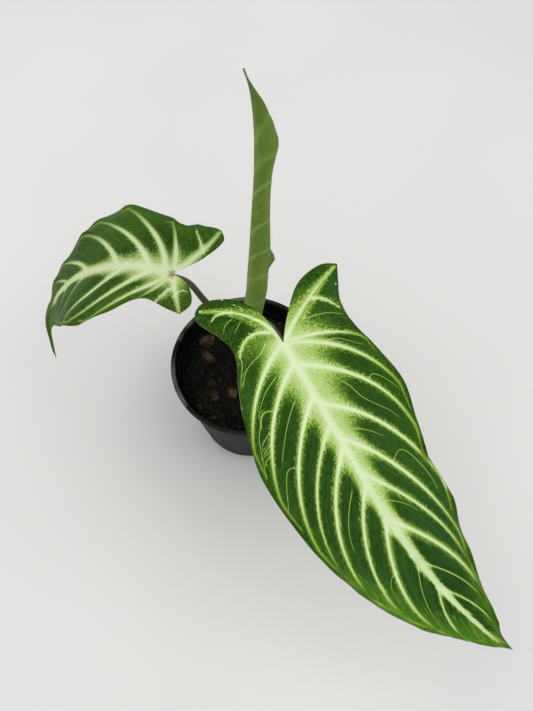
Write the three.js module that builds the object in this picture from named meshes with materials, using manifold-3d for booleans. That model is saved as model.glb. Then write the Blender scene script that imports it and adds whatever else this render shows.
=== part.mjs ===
import * as THREE from "three";
import { mergeVertices } from "three/addons/utils/BufferGeometryUtils.js";
import Module from "manifold-3d";

// A young magnificum caladium in a black nursery pot: two open arrow-shaped leaves, one leaf still rolled,
// their stalks, the rhizome with its roots, the potting mix and the pot.
// Millimetres, +Z up. The origin is the centre of the pot's flat base. -Y is the front.

// Driving dimensions

const CLEARANCE = 0.35;

const POT = {
  height: 92,
  rimRadius: 54,
  baseRadius: 38,
  shoulderRadius: 49.6,
  shoulderHeight: 79,
  bandHeight: 80.4,
  bandRadius: 51.4,
  bandSlope: 1.3,
  lipWidth: 3,
  lipHeight: 2.4,
  softening: 0.7,
  wall: 1.4,
  floor: 2.4,
  recess: 1,
  recessInner: 19,
  recessOuter: 34,
  drains: 8,
  drainRadius: 3.6,
  drainCircle: 26.5,
  drainSides: 14,
  segments: 48,
};

const MIX = {
  top: 79.3,
  edgeDrop: 2.2,
  unevenness: 0.9,
  rings: [9, 17, 25, 33, 41],
  segments: 40,
  chunks: 28,
  chunkLength: [7, 13],
  chunkField: 39,
  stemRoom: 8,
  seed: 41,
};

const RHIZOME = {
  centre: [0, 11, 58],
  radii: [12, 11.5, 13],
  roots: 6,
  rootLength: 34,
  rootRadius: [1.7, 0.8],
  rootSides: 6,
  rootSteps: 4,
};

const BLADE = {
  thickness: 0.8,
  ribDepth: 1.5,
  ribTaper: 0.75,
  veinDepth: 0.55,
  groove: 0.3,
  quilt: 0.85,
  stillEnd: 0.09,
  columns: [0, 0.05, 0.16, 0.32, 0.5, 0.68, 0.85, 1],
  lobeColumns: [0, 0.5, 1],
  rowsPerVein: 3,
};

// Each side's margin is distance along the midrib and half-width, from the tip to the end of the basal lobe.
// Each vein is where it leaves the midrib and where it ends at the margin, both as shares of the midrib.
// A start below zero lies on the basal rib, as a share of that rib. The fan bends the side's veins: it has
// the shares of a vein's run and width at which its first control point lies, and of the run for its last.
const FRONT_LEAF = {
  midrib: [
    [23, -35, 188.5],
    [50.5, -81, 176],
    [81, -127, 155],
    [109, -157, 131],
    [144, -182, 102],
    [160, -188, 89],
  ],
  fold: 8,
  arch: 0.004,
  wave: { height: 1, count: 6 },
  right: {
    margin: [
      [235, 0],
      [228, 2],
      [212, 9],
      [180, 22],
      [151, 31],
      [130, 37],
      [113, 36.5],
      [97, 37.5],
      [76, 43.5],
      [53, 48.5],
      [31, 46.5],
      [9, 40.5],
      [-4, 41],
      [-16, 46],
      [-27, 52],
    ],
    inner: [
      [0, 0],
      [-13, 10],
      [-27, 25],
      [-31, 42],
      [-27, 52],
    ],
    ribBend: [-13, 26],
    fan: { lead: 0.13, rise: 0.48, sweep: 0.54 },
    veins: [
      [0.69, 0.975],
      [0.605, 0.91],
      [0.48, 0.862],
      [0.352, 0.8],
      [0.26, 0.695],
      [0.168, 0.546],
      [0.06, 0.392],
      [0, 0.264],
      [0, 0.102],
      [-0.54, 0.01],
    ],
  },
  left: {
    margin: [
      [235, 0],
      [223, 2],
      [194, 13],
      [164, 26.5],
      [134, 37],
      [108, 44],
      [81, 48],
      [66, 49],
      [52, 48],
      [26, 41],
      [8, 34],
      [-6, 28],
      [-18, 30],
      [-27, 35],
      [-33, 37.5],
      [-38, 36],
    ],
    inner: [
      [0, 0],
      [-20, 2.5],
      [-34, 11],
      [-40, 22],
      [-41, 31],
      [-38, 36],
    ],
    ribBend: [-26, 2],
    fan: { lead: 0.1, rise: 0.34, sweep: 0.5 },
    veins: [
      [0.69, 0.865],
      [0.605, 0.835],
      [0.465, 0.812],
      [0.38, 0.722],
      [0.28, 0.635],
      [0.22, 0.558],
      [0.145, 0.5],
      [0.055, 0.363],
      [0, 0.225],
      [-0.25, -0.015],
      [-0.78, -0.11],
    ],
  },
};

const LEFT_LEAF = {
  midrib: [
    [-42, 10, 190],
    [-64, 17, 188],
    [-88, 23, 176],
    [-110, 27, 157],
    [-129, 26, 131],
    [-138, 20, 109],
    [-136, 5, 89],
  ],
  fold: 5,
  arch: 0.003,
  wave: { height: 0.8, count: 5 },
  right: {
    margin: [
      [163, 0],
      [151, 1.2],
      [140, 3.5],
      [127, 8],
      [113, 15.5],
      [95, 25.5],
      [78, 34],
      [60, 40],
      [45, 39.5],
      [30, 34],
      [16, 24],
      [6, 21],
      [-4, 23],
      [-14, 24.5],
    ],
    inner: [
      [0, 0],
      [-7, 1.5],
      [-14, 7],
      [-18, 16],
      [-14, 24.5],
    ],
    ribBend: [-6, 11],
    fan: { lead: 0.14, rise: 0.32, sweep: 0.28 },
    veins: [
      [0.66, 0.79],
      [0.54, 0.71],
      [0.4, 0.645],
      [0.19, 0.54],
      [0.075, 0.434],
      [0, 0.306],
      [0, 0.09],
      [-0.4, 0.02],
    ],
  },
  left: {
    margin: [
      [163, 0],
      [151, 1.2],
      [140, 2.5],
      [127, 5],
      [113, 10.5],
      [95, 23],
      [78, 36],
      [60, 45.5],
      [45, 46.5],
      [29, 42.5],
      [14, 35.5],
      [2, 34.5],
      [-8, 38.5],
      [-17, 38],
    ],
    inner: [
      [0, 0],
      [-6, 6.5],
      [-14, 16],
      [-21, 31],
      [-17, 38],
    ],
    ribBend: [-5, 20],
    fan: { lead: 0.08, rise: 0.42, sweep: 0.08 },
    veins: [
      [0.69, 0.76],
      [0.54, 0.665],
      [0.4, 0.6],
      [0.235, 0.5],
      [0.097, 0.44],
      [0.03, 0.302],
      [0, 0.085],
      [-0.6, -0.01],
    ],
  },
};

// The leaf that is still rolled: a sheet wound on an upright, slightly bent roll. Its midrib runs up the
// left side, its outer half goes round the front to the right, and its inner half winds inside.
// outline is height, the roll's left edge, its radius, the outer half's width and the inner half's width.
const ROLLED_LEAF = {
  depth: 12,
  thickness: 0.7,
  pitch: 1.4,
  sinus: 147,
  notch: 9,
  ridge: { height: 0.7, halfWidth: 1.6 },
  flare: { height: 204, reach: 6, out: 2.8 },
  outline: [
    [127, -2.3, 6.3, 9, 9],
    [133, -1.9, 6.4, 16, 14],
    [147, -0.9, 6.5, 20, 17.5],
    [168, 1.1, 6.6, 21.5, 26],
    [191, 2.2, 6.4, 22, 31],
    [215, 3.6, 6.1, 21, 31],
    [239, 5.1, 5.1, 18, 28],
    [261, 6.7, 4.5, 16, 25],
    [278, 7.4, 4.7, 16, 23],
    [297, 8, 5.4, 17, 19],
    [307, 7.9, 5.5, 13, 14.5],
    [316, 7.7, 5.4, 10, 10.5],
    [324, 7.1, 4.4, 6.5, 6.5],
    [331, 6.1, 2.4, 2.6, 2.6],
    [339, 4, 1.2, 0, 0],
  ],
  lowerHeights: [127, 130, 134, 140, 147],
  rows: 26,
  outerColumns: 8,
  innerColumns: 11,
};

// Stalk routes run from the rhizome to the leaf, with the radius at the foot, above the mix and at the leaf.
const STALKS = {
  leaf_front_petiole: {
    route: [
      [3, 5, 64],
      [3.4, 4.6, 90],
      [5.5, 1, 120],
      [9.5, -7.5, 156],
      [14.5, -19, 180.5],
      [19.4, -29.2, 186.4],
      [24.7, -37.8, 183.9],
    ],
    radii: [3.3, 3, 1.8],
    finish: "stalk",
  },
  leaf_left_petiole: {
    route: [
      [-5.2, 12, 64],
      [-6.5, 12, 86],
      [-13.5, 11.2, 124],
      [-20, 10.5, 145],
      [-26, 9.8, 162],
      [-32.5, 9, 181],
      [-37.4, 8.6, 186.9],
      [-44.8, 10.9, 186.65],
    ],
    radii: [2.9, 2.6, 1.6],
    finish: "stalk",
  },
  leaf_new_petiole: {
    route: [
      [2.4, 15, 64],
      [1.8, 14.6, 84],
      [1.6, 12.8, 112],
      [1.9, 12.1, 128],
      [3.3, 12, 151],
    ],
    radii: [3.6, 3.4, 2.9],
    finish: "youngStalk",
  },
};

const STALK_SIDES = 10;
const STALK_STEPS = 14;
const HOLE_SIDES = 8;
const HOLE_STEPS = 7;
const HOLE_CLEARANCE = 0.65;

// Colour and roughness of each finish
const FINISHES = {
  pot: [0x17181a, 0.42],
  mix: [0x1d1511, 0.95],
  rhizome: [0x7b5a3c, 0.85],
  blade: [0x2f6424, 0.38],
  rolled: [0x5f7a38, 0.5],
  stalk: [0x4a4326, 0.55],
  youngStalk: [0x6d8248, 0.55],
};

// Curves

// A smooth curve through a list of points of any dimension, by the length of the chords between them.
class CurveThrough {
  constructor(points) {
    this.points = points;
    this.knots = [0];
    for (let i = 1; i < points.length; i++) {
      const step = Math.hypot(...points[i].map((c, k) => c - points[i - 1][k]));
      this.knots.push(this.knots[i - 1] + step);
    }
    const total = this.knots.at(-1);
    this.knots = this.knots.map((k) => k / total);
    this.slopes = points.map((_, i) => this.slope(Math.max(i - 1, 0), Math.min(i + 1, points.length - 1)));
    this.easeEnd(0, 1);
    this.easeEnd(points.length - 1, points.length - 2);
  }

  slope(i, j) {
    const span = this.knots[j] - this.knots[i];
    return this.points[j].map((c, k) => (c - this.points[i][k]) / span);
  }

  easeEnd(end, next) {
    this.slopes[end] = this.slopes[end].map((c, k) => 1.5 * c - 0.5 * this.slopes[next][k]);
  }

  at(u) {
    const share = THREE.MathUtils.clamp(u, 0, 1);
    let i = this.knots.findIndex((k) => k > share) - 1;
    if (i < 0) i = this.points.length - 2;
    const span = this.knots[i + 1] - this.knots[i];
    const t = (share - this.knots[i]) / span;
    const a = (2 * t - 3) * t * t + 1;
    const b = ((t - 2) * t + 1) * t * span;
    const d = (t - 1) * t * t * span;
    return this.points[i].map(
      (c, k) => a * c + b * this.slopes[i][k] + (1 - a) * this.points[i + 1][k] + d * this.slopes[i + 1][k],
    );
  }
}

// A value looked up between samples of [key, ...values], with keys rising.
function between(samples, key) {
  let i = samples.findIndex((s) => s[0] > key) - 1;
  if (key <= samples[0][0]) i = 0;
  else if (i < 0) i = samples.length - 2;
  const [low, high] = [samples[i], samples[i + 1]];
  const t = THREE.MathUtils.clamp((key - low[0]) / (high[0] - low[0]), 0, 1);
  return low.slice(1).map((c, k) => c + (high[k + 1] - c) * t);
}

function bezier(points, t) {
  let level = points;
  while (level.length > 1) {
    level = level.slice(1).map((p, i) => p.map((c, k) => level[i][k] + (c - level[i][k]) * t));
  }
  return level[0];
}

// Solids

// A sheet of welded points and triangles that becomes a closed solid. Its far face lies along the normals,
// at each point's own depth, and is split into triangles as the near face is. Walls close its edges.
class Sheet {
  constructor() {
    this.points = [];
    this.depths = [];
    this.triangles = [];
    this.known = new Map();
  }

  point(position, depth) {
    const key = position.toArray().map((c) => Math.round(c * 200)).join();
    if (!this.known.has(key)) {
      this.known.set(key, this.points.length);
      this.points.push(position);
      this.depths.push(depth);
    }
    return this.known.get(key);
  }

  triangle(a, b, c) {
    if (a !== b && b !== c && c !== a) this.triangles.push([a, b, c]);
  }

  // rows is a list of equally long rows of point numbers. Each cell is cut along its shorter diagonal.
  grid(rows, flipped) {
    for (let i = 0; i + 1 < rows.length; i++) {
      for (let j = 0; j + 1 < rows[i].length; j++) {
        const [a, b, c, d] = [rows[i][j], rows[i][j + 1], rows[i + 1][j + 1], rows[i + 1][j]];
        const ac = this.points[a].distanceTo(this.points[c]);
        const bd = this.points[b].distanceTo(this.points[d]);
        const halves = ac < bd ? [[a, b, c], [a, c, d]] : [[a, b, d], [b, c, d]];
        for (const [p, q, r] of halves) this.triangle(p, flipped ? r : q, flipped ? q : r);
      }
    }
  }

  // Joins two lines of [share, point number] with falling shares, which need not have equally many points.
  zip(first, second, flipped) {
    let [i, j] = [0, 0];
    while (i + 1 < first.length || j + 1 < second.length) {
      const secondDone = j + 1 === second.length;
      const onFirst = secondDone || (i + 1 < first.length && first[i + 1][0] >= second[j + 1][0]);
      const [a, b] = [first[i][1], second[j][1]];
      const c = onFirst ? first[++i][1] : second[++j][1];
      this.triangle(a, flipped ? c : b, flipped ? b : c);
    }
  }

  normals() {
    const sums = this.points.map(() => new THREE.Vector3());
    for (const corners of this.triangles) {
      const [p, q, r] = corners.map((i) => this.points[i]);
      const normal = q.clone().sub(p).cross(r.clone().sub(p)).normalize();
      corners.forEach((corner, k) => {
        const [u, v] = [1, 2].map((n) => this.points[corners[(k + n) % 3]].clone().sub(this.points[corner]));
        sums[corner].addScaledVector(normal, u.angleTo(v));
      });
    }
    return sums.map((n) => n.normalize());
  }

  edges() {
    const open = new Map();
    for (const corners of this.triangles) {
      corners.forEach((from, k) => {
        const to = corners[(k + 1) % 3];
        if (!open.delete(to + "," + from)) open.set(from + "," + to, [from, to]);
      });
    }
    return [...open.values()];
  }

  geometry() {
    const count = this.points.length;
    const far = this.normals().map((n, i) => this.points[i].clone().addScaledVector(n, -this.depths[i]));
    const index = [];
    for (const [a, b, c] of this.triangles) {
      index.push(a, b, c, count + a, count + c, count + b);
    }
    for (const [a, b] of this.edges()) {
      index.push(b, a, count + a, b, count + a, count + b);
    }
    const geometry = new THREE.BufferGeometry();
    geometry.setFromPoints([...this.points, ...far]);
    geometry.setIndex(index);
    return geometry;
  }
}

// A round stalk or root along a route, its radius going through the given radii from end to end.
function stalk(route, radii, extra = 0, sides = STALK_SIDES, steps = STALK_STEPS) {
  const curve = new THREE.CatmullRomCurve3(route.map((p) => new THREE.Vector3(...p)), false, "centripetal");
  const frames = curve.computeFrenetFrames(steps);
  const knots = radii.map((r, i) => [i / (radii.length - 1), r]);
  const points = [];
  for (let i = 0; i <= steps; i++) {
    const centre = curve.getPointAt(i / steps);
    const radius = between(knots, i / steps)[0] + extra;
    if (i === 0) centre.addScaledVector(frames.tangents[0], -extra);
    if (i === steps) centre.addScaledVector(frames.tangents[steps], extra);
    for (let j = 0; j < sides; j++) {
      const angle = (2 * Math.PI * j) / sides;
      const point = centre.clone();
      point.addScaledVector(frames.normals[i], radius * Math.cos(angle));
      point.addScaledVector(frames.binormals[i], radius * Math.sin(angle));
      points.push(point);
    }
    if (i === 0 || i === steps) points.push(centre);
  }
  const [foot, head] = [sides, points.length - 1];
  const start = (i) => i * sides + (i > 0 ? 1 : 0);
  const index = [];
  for (let j = 0; j < sides; j++) {
    const next = (j + 1) % sides;
    index.push(foot, next, j, head, start(steps) + j, start(steps) + next);
    for (let i = 0; i < steps; i++) {
      const [a, b, c, d] = [start(i) + j, start(i) + next, start(i + 1) + next, start(i + 1) + j];
      index.push(a, b, c, a, c, d);
    }
  }
  const geometry = new THREE.BufferGeometry().setFromPoints(points);
  geometry.setIndex(index);
  return geometry;
}

const wasm = await Module();
wasm.setup();

function toSolid(geometry) {
  const bare = new THREE.BufferGeometry();
  bare.setAttribute("position", geometry.getAttribute("position"));
  bare.setIndex(geometry.index);
  const merged = mergeVertices(bare, 1e-4);
  return new wasm.Manifold(
    new wasm.Mesh({
      numProp: 3,
      vertProperties: merged.attributes.position.array,
      triVerts: new Uint32Array(merged.index.array),
    }),
  );
}

function toGeometry(solid) {
  const mesh = solid.getMesh();
  const geometry = new THREE.BufferGeometry();
  geometry.setAttribute("position", new THREE.BufferAttribute(mesh.vertProperties, 3));
  geometry.setIndex(new THREE.BufferAttribute(mesh.triVerts, 1));
  return geometry;
}

// Keeps the largest body, so that a hollow sealed by joining is filled.
function filled(solid) {
  return solid.decompose().reduce((best, body) => (body.volume() > best.volume() ? body : best));
}

function randomStream(seed) {
  let state = seed >>> 0;
  return (low = 0, high = 1) => {
    state = (Math.imul(state, 1664525) + 1013904223) >>> 0;
    return low + ((high - low) * state) / 4294967296;
  };
}

// Open leaves

// The midrib as a run of frames: a point, the way along it, the way across to the left, and up.
class Midrib {
  constructor(points, samples = 240) {
    const curve = new CurveThrough(points);
    this.places = Array.from({ length: samples + 1 }, (_, i) => new THREE.Vector3(...curve.at(i / samples)));
    this.distances = [0];
    for (let i = 1; i <= samples; i++) {
      this.distances.push(this.distances[i - 1] + this.places[i].distanceTo(this.places[i - 1]));
    }
    this.length = this.distances[samples];
  }

  at(distance) {
    const inside = THREE.MathUtils.clamp(distance, 0, this.length);
    let i = this.distances.findIndex((d) => d > inside) - 1;
    if (i < 0) i = this.distances.length - 2;
    const t = (inside - this.distances[i]) / (this.distances[i + 1] - this.distances[i]);
    const [before, after] = [Math.max(i - 2, 0), Math.min(i + 3, this.places.length - 1)];
    const along = this.places[after].clone().sub(this.places[before]).normalize();
    const across = along.clone().cross(new THREE.Vector3(0, 0, 1)).normalize();
    const up = across.clone().cross(along);
    const point = this.places[i].clone().lerp(this.places[i + 1], t);
    point.addScaledVector(along, Math.min(distance, 0));
    return { point, along, across, up };
  }
}

// One open blade. A place on it is a distance along the midrib and a distance from it on one side.
class Blade {
  constructor(form) {
    this.form = form;
    this.midrib = new Midrib(form.midrib);
  }

  // The midrib's two halves rise by the fold and then arch over.
  place(side, [along, out], lift) {
    const frame = this.midrib.at(along);
    const { fold, arch } = this.form;
    const rise = THREE.MathUtils.degToRad(fold);
    const slope = rise - arch * out;
    const x = (Math.sin(rise) - Math.sin(slope)) / arch;
    const z = (Math.cos(slope) - Math.cos(rise)) / arch;
    const sign = side === "left" ? 1 : -1;
    return frame.point.addScaledVector(frame.across, sign * x).addScaledVector(frame.up, z + lift);
  }

  halfWidths(half) {
    const curve = new CurveThrough(half.margin);
    const samples = Array.from({ length: 400 }, (_, i) => curve.at(1 - i / 399));
    return (along) => between(samples, along)[0];
  }

  basalRib(half, share) {
    return bezier([[0, 0], half.ribBend, half.margin.at(-1)], share);
  }

  // A line from the midrib or the basal rib out to the margin, sweeping forward as the veins do.
  ray(half, widths, start, end) {
    const { lead, rise, sweep } = half.fan;
    const length = this.midrib.length;
    const from = start >= 0 ? [start * length, 0] : this.basalRib(half, -start);
    const to = [end * length, widths(end * length)];
    const run = to[0] - from[0];
    const first = [from[0] + lead * run, from[1] + rise * (to[1] - from[1])];
    const last = [to[0] - sweep * run, Math.max(widths(to[0] - sweep * run), to[1] * 0.5)];
    return (t) => bezier([from, first, last, to], t);
  }

  // The rows of one half: on each vein, and a few between it and the next, from the tip to the lobe's end.
  rows(half) {
    const lobeEnd = half.margin.at(-1)[0] / this.midrib.length;
    const stops = [[1, 1], ...half.veins, [-1, lobeEnd]];
    const rows = [];
    for (let i = 0; i + 1 < stops.length; i++) {
      for (let k = 0; k < BLADE.rowsPerVein; k++) {
        const share = k / BLADE.rowsPerVein;
        const [start, end] = stops[i].map((c, n) => c + (stops[i + 1][n] - c) * share);
        rows.push({ start, end, share, onVein: k === 0 && i > 0 });
      }
    }
    rows.push({ start: -1, end: lobeEnd, share: 0, onVein: false });
    return rows;
  }

  // The face sinks along each vein and swells between two of them.
  relief(row, column) {
    const fade = Math.sin(Math.PI * Math.min(column * 1.1, 1)) ** 0.7;
    const swell = 4 * row.share * (1 - row.share);
    return fade * (row.onVein ? -BLADE.groove : BLADE.quilt * swell);
  }

  // The margin waves up and down, with nothing left of it near the tip, the lobe's end and the midrib.
  wave(half, end, column) {
    const { height, count } = this.form.wave;
    const lobeEnd = half.margin.at(-1)[0] / this.midrib.length;
    const fade = Math.min((1 - end) / BLADE.stillEnd, (end - lobeEnd) / BLADE.stillEnd, 1) * column ** 2.2;
    return height * Math.sin(2 * Math.PI * count * end) * fade;
  }

  // The blade's depth is greater along the midrib and the veins, whose ribs stand out below.
  depth(row, column, along) {
    const tipward = THREE.MathUtils.clamp(along / this.midrib.length, 0, 1);
    const rib = BLADE.ribDepth * (1 - BLADE.ribTaper * tipward) * THREE.MathUtils.clamp(along / 6, 0.15, 1);
    if (column === 0) return BLADE.thickness + rib;
    const vein = row.onVein ? BLADE.veinDepth * (1 - column) : 0;
    return BLADE.thickness + vein;
  }

  // Both halves share the midrib's points, one for each row that starts on it from either side.
  midribPoints(sheet) {
    const starts = ["right", "left"].flatMap((side) => this.rows(this.form[side]).map((row) => row.start));
    const shared = [...new Set(starts.filter((start) => start >= 0))].sort((a, b) => b - a);
    return shared.map((start) => {
      const along = start * this.midrib.length;
      return [start, sheet.point(this.place("left", [along, 0], 0), this.depth({}, 0, along))];
    });
  }

  geometry() {
    const sheet = new Sheet();
    const midribPoints = this.midribPoints(sheet);
    for (const side of ["right", "left"]) {
      const half = this.form[side];
      const flipped = side === "left";
      const widths = this.halfWidths(half);
      const rows = this.rows(half).map((row) => {
        const ray = this.ray(half, widths, row.start, row.end);
        const points = BLADE.columns.map((column) => {
          const at = ray(column);
          const lift = this.relief(row, column) + this.wave(half, row.end, column);
          return sheet.point(this.place(side, at, lift), this.depth(row, column, at[0]));
        });
        return { start: row.start, points };
      });
      const onMidrib = rows.filter((row) => row.start >= 0);
      const onLobe = rows.slice(onMidrib.length - 1);
      sheet.grid(onMidrib.map((row) => row.points.slice(1)), flipped);
      sheet.zip(midribPoints, onMidrib.map((row) => [row.start, row.points[1]]), flipped);
      sheet.grid(onLobe.map((row) => row.points), flipped);
      this.addLobe(sheet, side, half);
    }
    return sheet.geometry();
  }

  // The strip between the basal rib and the edge of the notch. Its rib is the outer rows' first column.
  addLobe(sheet, side, half) {
    const edge = new CurveThrough(half.inner);
    const starts = this.rows(half).filter((row) => row.start < 0).map((row) => -row.start);
    const shares = [0, ...starts];
    const rows = shares.map((share) => {
      const from = this.basalRib(half, share);
      const to = edge.at(share);
      return BLADE.lobeColumns.map((column) => {
        const at = from.map((c, k) => c + (to[k] - c) * column);
        const depth = column === 0 ? this.depth({}, 0, at[0]) : BLADE.thickness;
        return sheet.point(this.place(side, at, 0), depth);
      });
    });
    sheet.grid(rows, side === "right");
  }
}

// Rolled leaf

class RolledBlade {
  constructor(form) {
    this.form = form;
    this.low = form.outline[0][0];
  }

  // The winding's radius falls by one pitch a turn, counted from the right edge of the outer half.
  place(height, out) {
    const { depth, pitch, ridge, flare, outline } = this.form;
    const [left, radius] = between(outline, height);
    const angle = Math.PI + out / Math.max(radius, 1);
    const turns = (2 * Math.PI - angle) / (2 * Math.PI);
    const rib = ridge.height * Math.max(0, 1 - Math.abs(out) / ridge.halfWidth);
    const near = Math.exp(-(((height - flare.height) / flare.reach) ** 2));
    const free = THREE.MathUtils.smoothstep(angle, 1.7 * Math.PI, 2 * Math.PI);
    const tight = Math.min(radius / 4, 1);
    const reach = radius - pitch * tight * Math.max(turns, -0.1) + rib * tight + flare.out * near * free;
    const centre = left + radius - 0.5 * pitch * tight;
    return new THREE.Vector3(centre + reach * Math.cos(angle), depth + reach * Math.sin(angle), height);
  }

  notch(height) {
    const { sinus, notch } = this.form;
    return notch * THREE.MathUtils.clamp((sinus - height) / (sinus - this.low), 0, 1) ** 0.7;
  }

  heights() {
    const { rows, sinus, outline, lowerHeights } = this.form;
    const rise = (outline.at(-1)[0] - sinus) / rows;
    const above = Array.from({ length: rows }, (_, i) => sinus + rise * (i + 1));
    return [...lowerHeights, ...above];
  }

  geometry() {
    const { outerColumns, innerColumns, outline, thickness } = this.form;
    const sheet = new Sheet();
    for (const [sign, columns] of [[1, outerColumns], [-1, innerColumns]]) {
      const rows = this.heights().map((height) => {
        const [, , outer, inner] = between(outline, height);
        const from = this.notch(height);
        const to = Math.max(sign > 0 ? outer : inner, from);
        return Array.from({ length: columns + 1 }, (_, j) => {
          const out = from + (to - from) * (j / columns) ** (from > 0 ? 1 : 1.15);
          const rib = out < 0.01 ? 0.5 * this.form.ridge.height : 0;
          return sheet.point(this.place(height, sign * out), thickness + rib);
        });
      });
      sheet.grid(rows, sign < 0);
    }
    return sheet.geometry();
  }
}

// Pot, mix and rhizome

function potProfile() {
  const { height, rimRadius, baseRadius, shoulderRadius, shoulderHeight, bandHeight, bandRadius } = POT;
  const { lipWidth, lipHeight, wall, floor, recess, recessInner, recessOuter } = POT;
  const { bandSlope, softening } = POT;
  return [
    [0, 0],
    [recessInner, 0],
    [recessInner + recess, recess],
    [recessOuter - recess, recess],
    [recessOuter, 0],
    [baseRadius - softening, 0],
    [baseRadius, softening],
    [shoulderRadius, shoulderHeight],
    [bandRadius, bandHeight],
    [rimRadius - bandSlope, height - lipHeight],
    [rimRadius, height - lipHeight + softening],
    [rimRadius, height - softening],
    [rimRadius - softening, height],
    [rimRadius - lipWidth + softening, height],
    [rimRadius - lipWidth, height - softening],
    [bandRadius - wall, bandHeight + softening],
    [shoulderRadius - wall, shoulderHeight - softening],
    [baseRadius - wall, floor + softening],
    [baseRadius - wall - softening, floor],
    [0, floor],
  ];
}

function lathe(profile, segments) {
  const geometry = new THREE.LatheGeometry(profile.map((p) => new THREE.Vector2(...p)), segments);
  return geometry.rotateX(Math.PI / 2);
}

function potSolid() {
  let solid = toSolid(lathe(potProfile(), POT.segments));
  for (let i = 0; i < POT.drains; i++) {
    const angle = (2 * Math.PI * (i + 0.5)) / POT.drains;
    const drain = new THREE.CylinderGeometry(POT.drainRadius, POT.drainRadius, 3 * POT.floor, POT.drainSides);
    drain.rotateX(Math.PI / 2);
    drain.translate(POT.drainCircle * Math.cos(angle), POT.drainCircle * Math.sin(angle), POT.floor / 2);
    solid = solid.subtract(toSolid(drain));
  }
  return solid;
}

function mixHeight(x, y) {
  const { top, unevenness } = MIX;
  const slow = Math.sin(0.13 * x + 0.6) * Math.cos(0.11 * y - 0.4);
  const quick = Math.sin(0.31 * x - 0.22 * y + 1.2) + Math.cos(0.27 * x + 0.36 * y);
  return top + unevenness * (slow + 0.45 * quick);
}

// The mix fills the pot to its inner wall, less a clearance, and its top is uneven.
function mixBody() {
  const wallRadius = POT.shoulderRadius - POT.wall - CLEARANCE;
  const footRadius = POT.baseRadius - POT.wall - CLEARANCE;
  const footHeight = POT.floor + POT.softening;
  const edgeHeight = MIX.top - MIX.edgeDrop;
  const share = (edgeHeight - footHeight) / (POT.shoulderHeight - footHeight);
  const edgeRadius = footRadius + (wallRadius - footRadius) * share;
  const profile = [
    [0, POT.floor + CLEARANCE],
    [footRadius - POT.softening, POT.floor + CLEARANCE],
    [footRadius, footHeight + CLEARANCE],
    [edgeRadius, edgeHeight],
    ...MIX.rings.toReversed().map((r) => [r, MIX.top]),
    [0, MIX.top],
  ];
  const geometry = lathe(profile, MIX.segments);
  const position = geometry.getAttribute("position");
  for (let i = 0; i < position.count; i++) {
    if (position.getZ(i) > MIX.top - 0.01) {
      position.setZ(i, mixHeight(position.getX(i), position.getY(i)));
    }
  }
  return toSolid(geometry);
}

// Bark chunks sit half sunk in the mix, clear of the stalks and of the pot.
function barkChunks() {
  const random = randomStream(MIX.seed);
  const [short, long] = MIX.chunkLength;
  const [stemX, stemY] = RHIZOME.centre;
  const chunks = [];
  while (chunks.length < MIX.chunks) {
    const radius = MIX.chunkField * Math.sqrt(random());
    const angle = random(0, 2 * Math.PI);
    const [x, y] = [radius * Math.cos(angle), radius * Math.sin(angle)];
    const length = random(short, long);
    const [turn, tilt, roll] = [random(0, Math.PI), random(-0.35, 0.35), random(-0.3, 0.3)];
    if (Math.hypot(x - stemX, y - stemY) < MIX.stemRoom + length / 2) continue;
    const chunk = new THREE.IcosahedronGeometry(0.5, 0);
    chunk.scale(length, length * random(0.5, 0.75), length * random(0.32, 0.45));
    chunk.rotateX(roll).rotateY(tilt).rotateZ(turn);
    chunk.translate(x, y, mixHeight(x, y) + random(0, 0.5));
    chunks.push(toSolid(chunk));
  }
  return chunks;
}

function rhizomeSolid(extra) {
  const [x, y, z] = RHIZOME.centre;
  const body = new THREE.SphereGeometry(1, 16, 10).rotateX(Math.PI / 2);
  body.scale(...RHIZOME.radii.map((r) => r + extra));
  body.translate(x, y, z);
  let solid = toSolid(body);
  for (let i = 0; i < RHIZOME.roots; i++) {
    const angle = (2 * Math.PI * (i + 0.3)) / RHIZOME.roots;
    const [cos, sin] = [Math.cos(angle), Math.sin(angle)];
    const reach = RHIZOME.rootLength * (0.8 + 0.2 * Math.sin(2.3 * i));
    const route = [
      [x + 5 * cos, y + 5 * sin, z - 4],
      [x + 0.45 * reach * cos, y + 0.45 * reach * sin, z - 8],
      [x + 0.72 * reach * cos, y + 0.55 * reach * sin, z - 0.55 * reach],
      [x + 0.7 * reach * cos, y + 0.5 * reach * sin, z - 1.2 * reach],
    ];
    solid = solid.add(toSolid(stalk(route, RHIZOME.rootRadius, extra, RHIZOME.rootSides, RHIZOME.rootSteps)));
  }
  return solid;
}

// Assembly

const group = new THREE.Group();

function addPiece(name, geometry, finish) {
  const [color, roughness] = FINISHES[finish];
  const material = new THREE.MeshStandardMaterial({ color, roughness, metalness: 0 });
  geometry.computeVertexNormals();
  const mesh = new THREE.Mesh(geometry, material);
  mesh.name = name;
  group.add(mesh);
}

const roomForRhizome = rhizomeSolid(CLEARANCE);
let mix = filled(barkChunks().reduce((body, chunk) => body.add(chunk), mixBody()));
mix = mix.subtract(roomForRhizome);

for (const [name, { route, radii, finish }] of Object.entries(STALKS)) {
  mix = mix.subtract(toSolid(stalk(route, radii, HOLE_CLEARANCE, HOLE_SIDES, HOLE_STEPS)));
  const solid = toSolid(stalk(route, radii)).subtract(roomForRhizome);
  addPiece(name, toGeometry(solid), finish);
}

addPiece("pot", toGeometry(potSolid()), "pot");
addPiece("potting_mix", toGeometry(mix), "mix");
addPiece("rhizome", toGeometry(rhizomeSolid(0)), "rhizome");
addPiece("leaf_front_blade", new Blade(FRONT_LEAF).geometry(), "blade");
addPiece("leaf_left_blade", new Blade(LEFT_LEAF).geometry(), "blade");
addPiece("leaf_new_blade", new RolledBlade(ROLLED_LEAF).geometry(), "rolled");

export default group;
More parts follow.
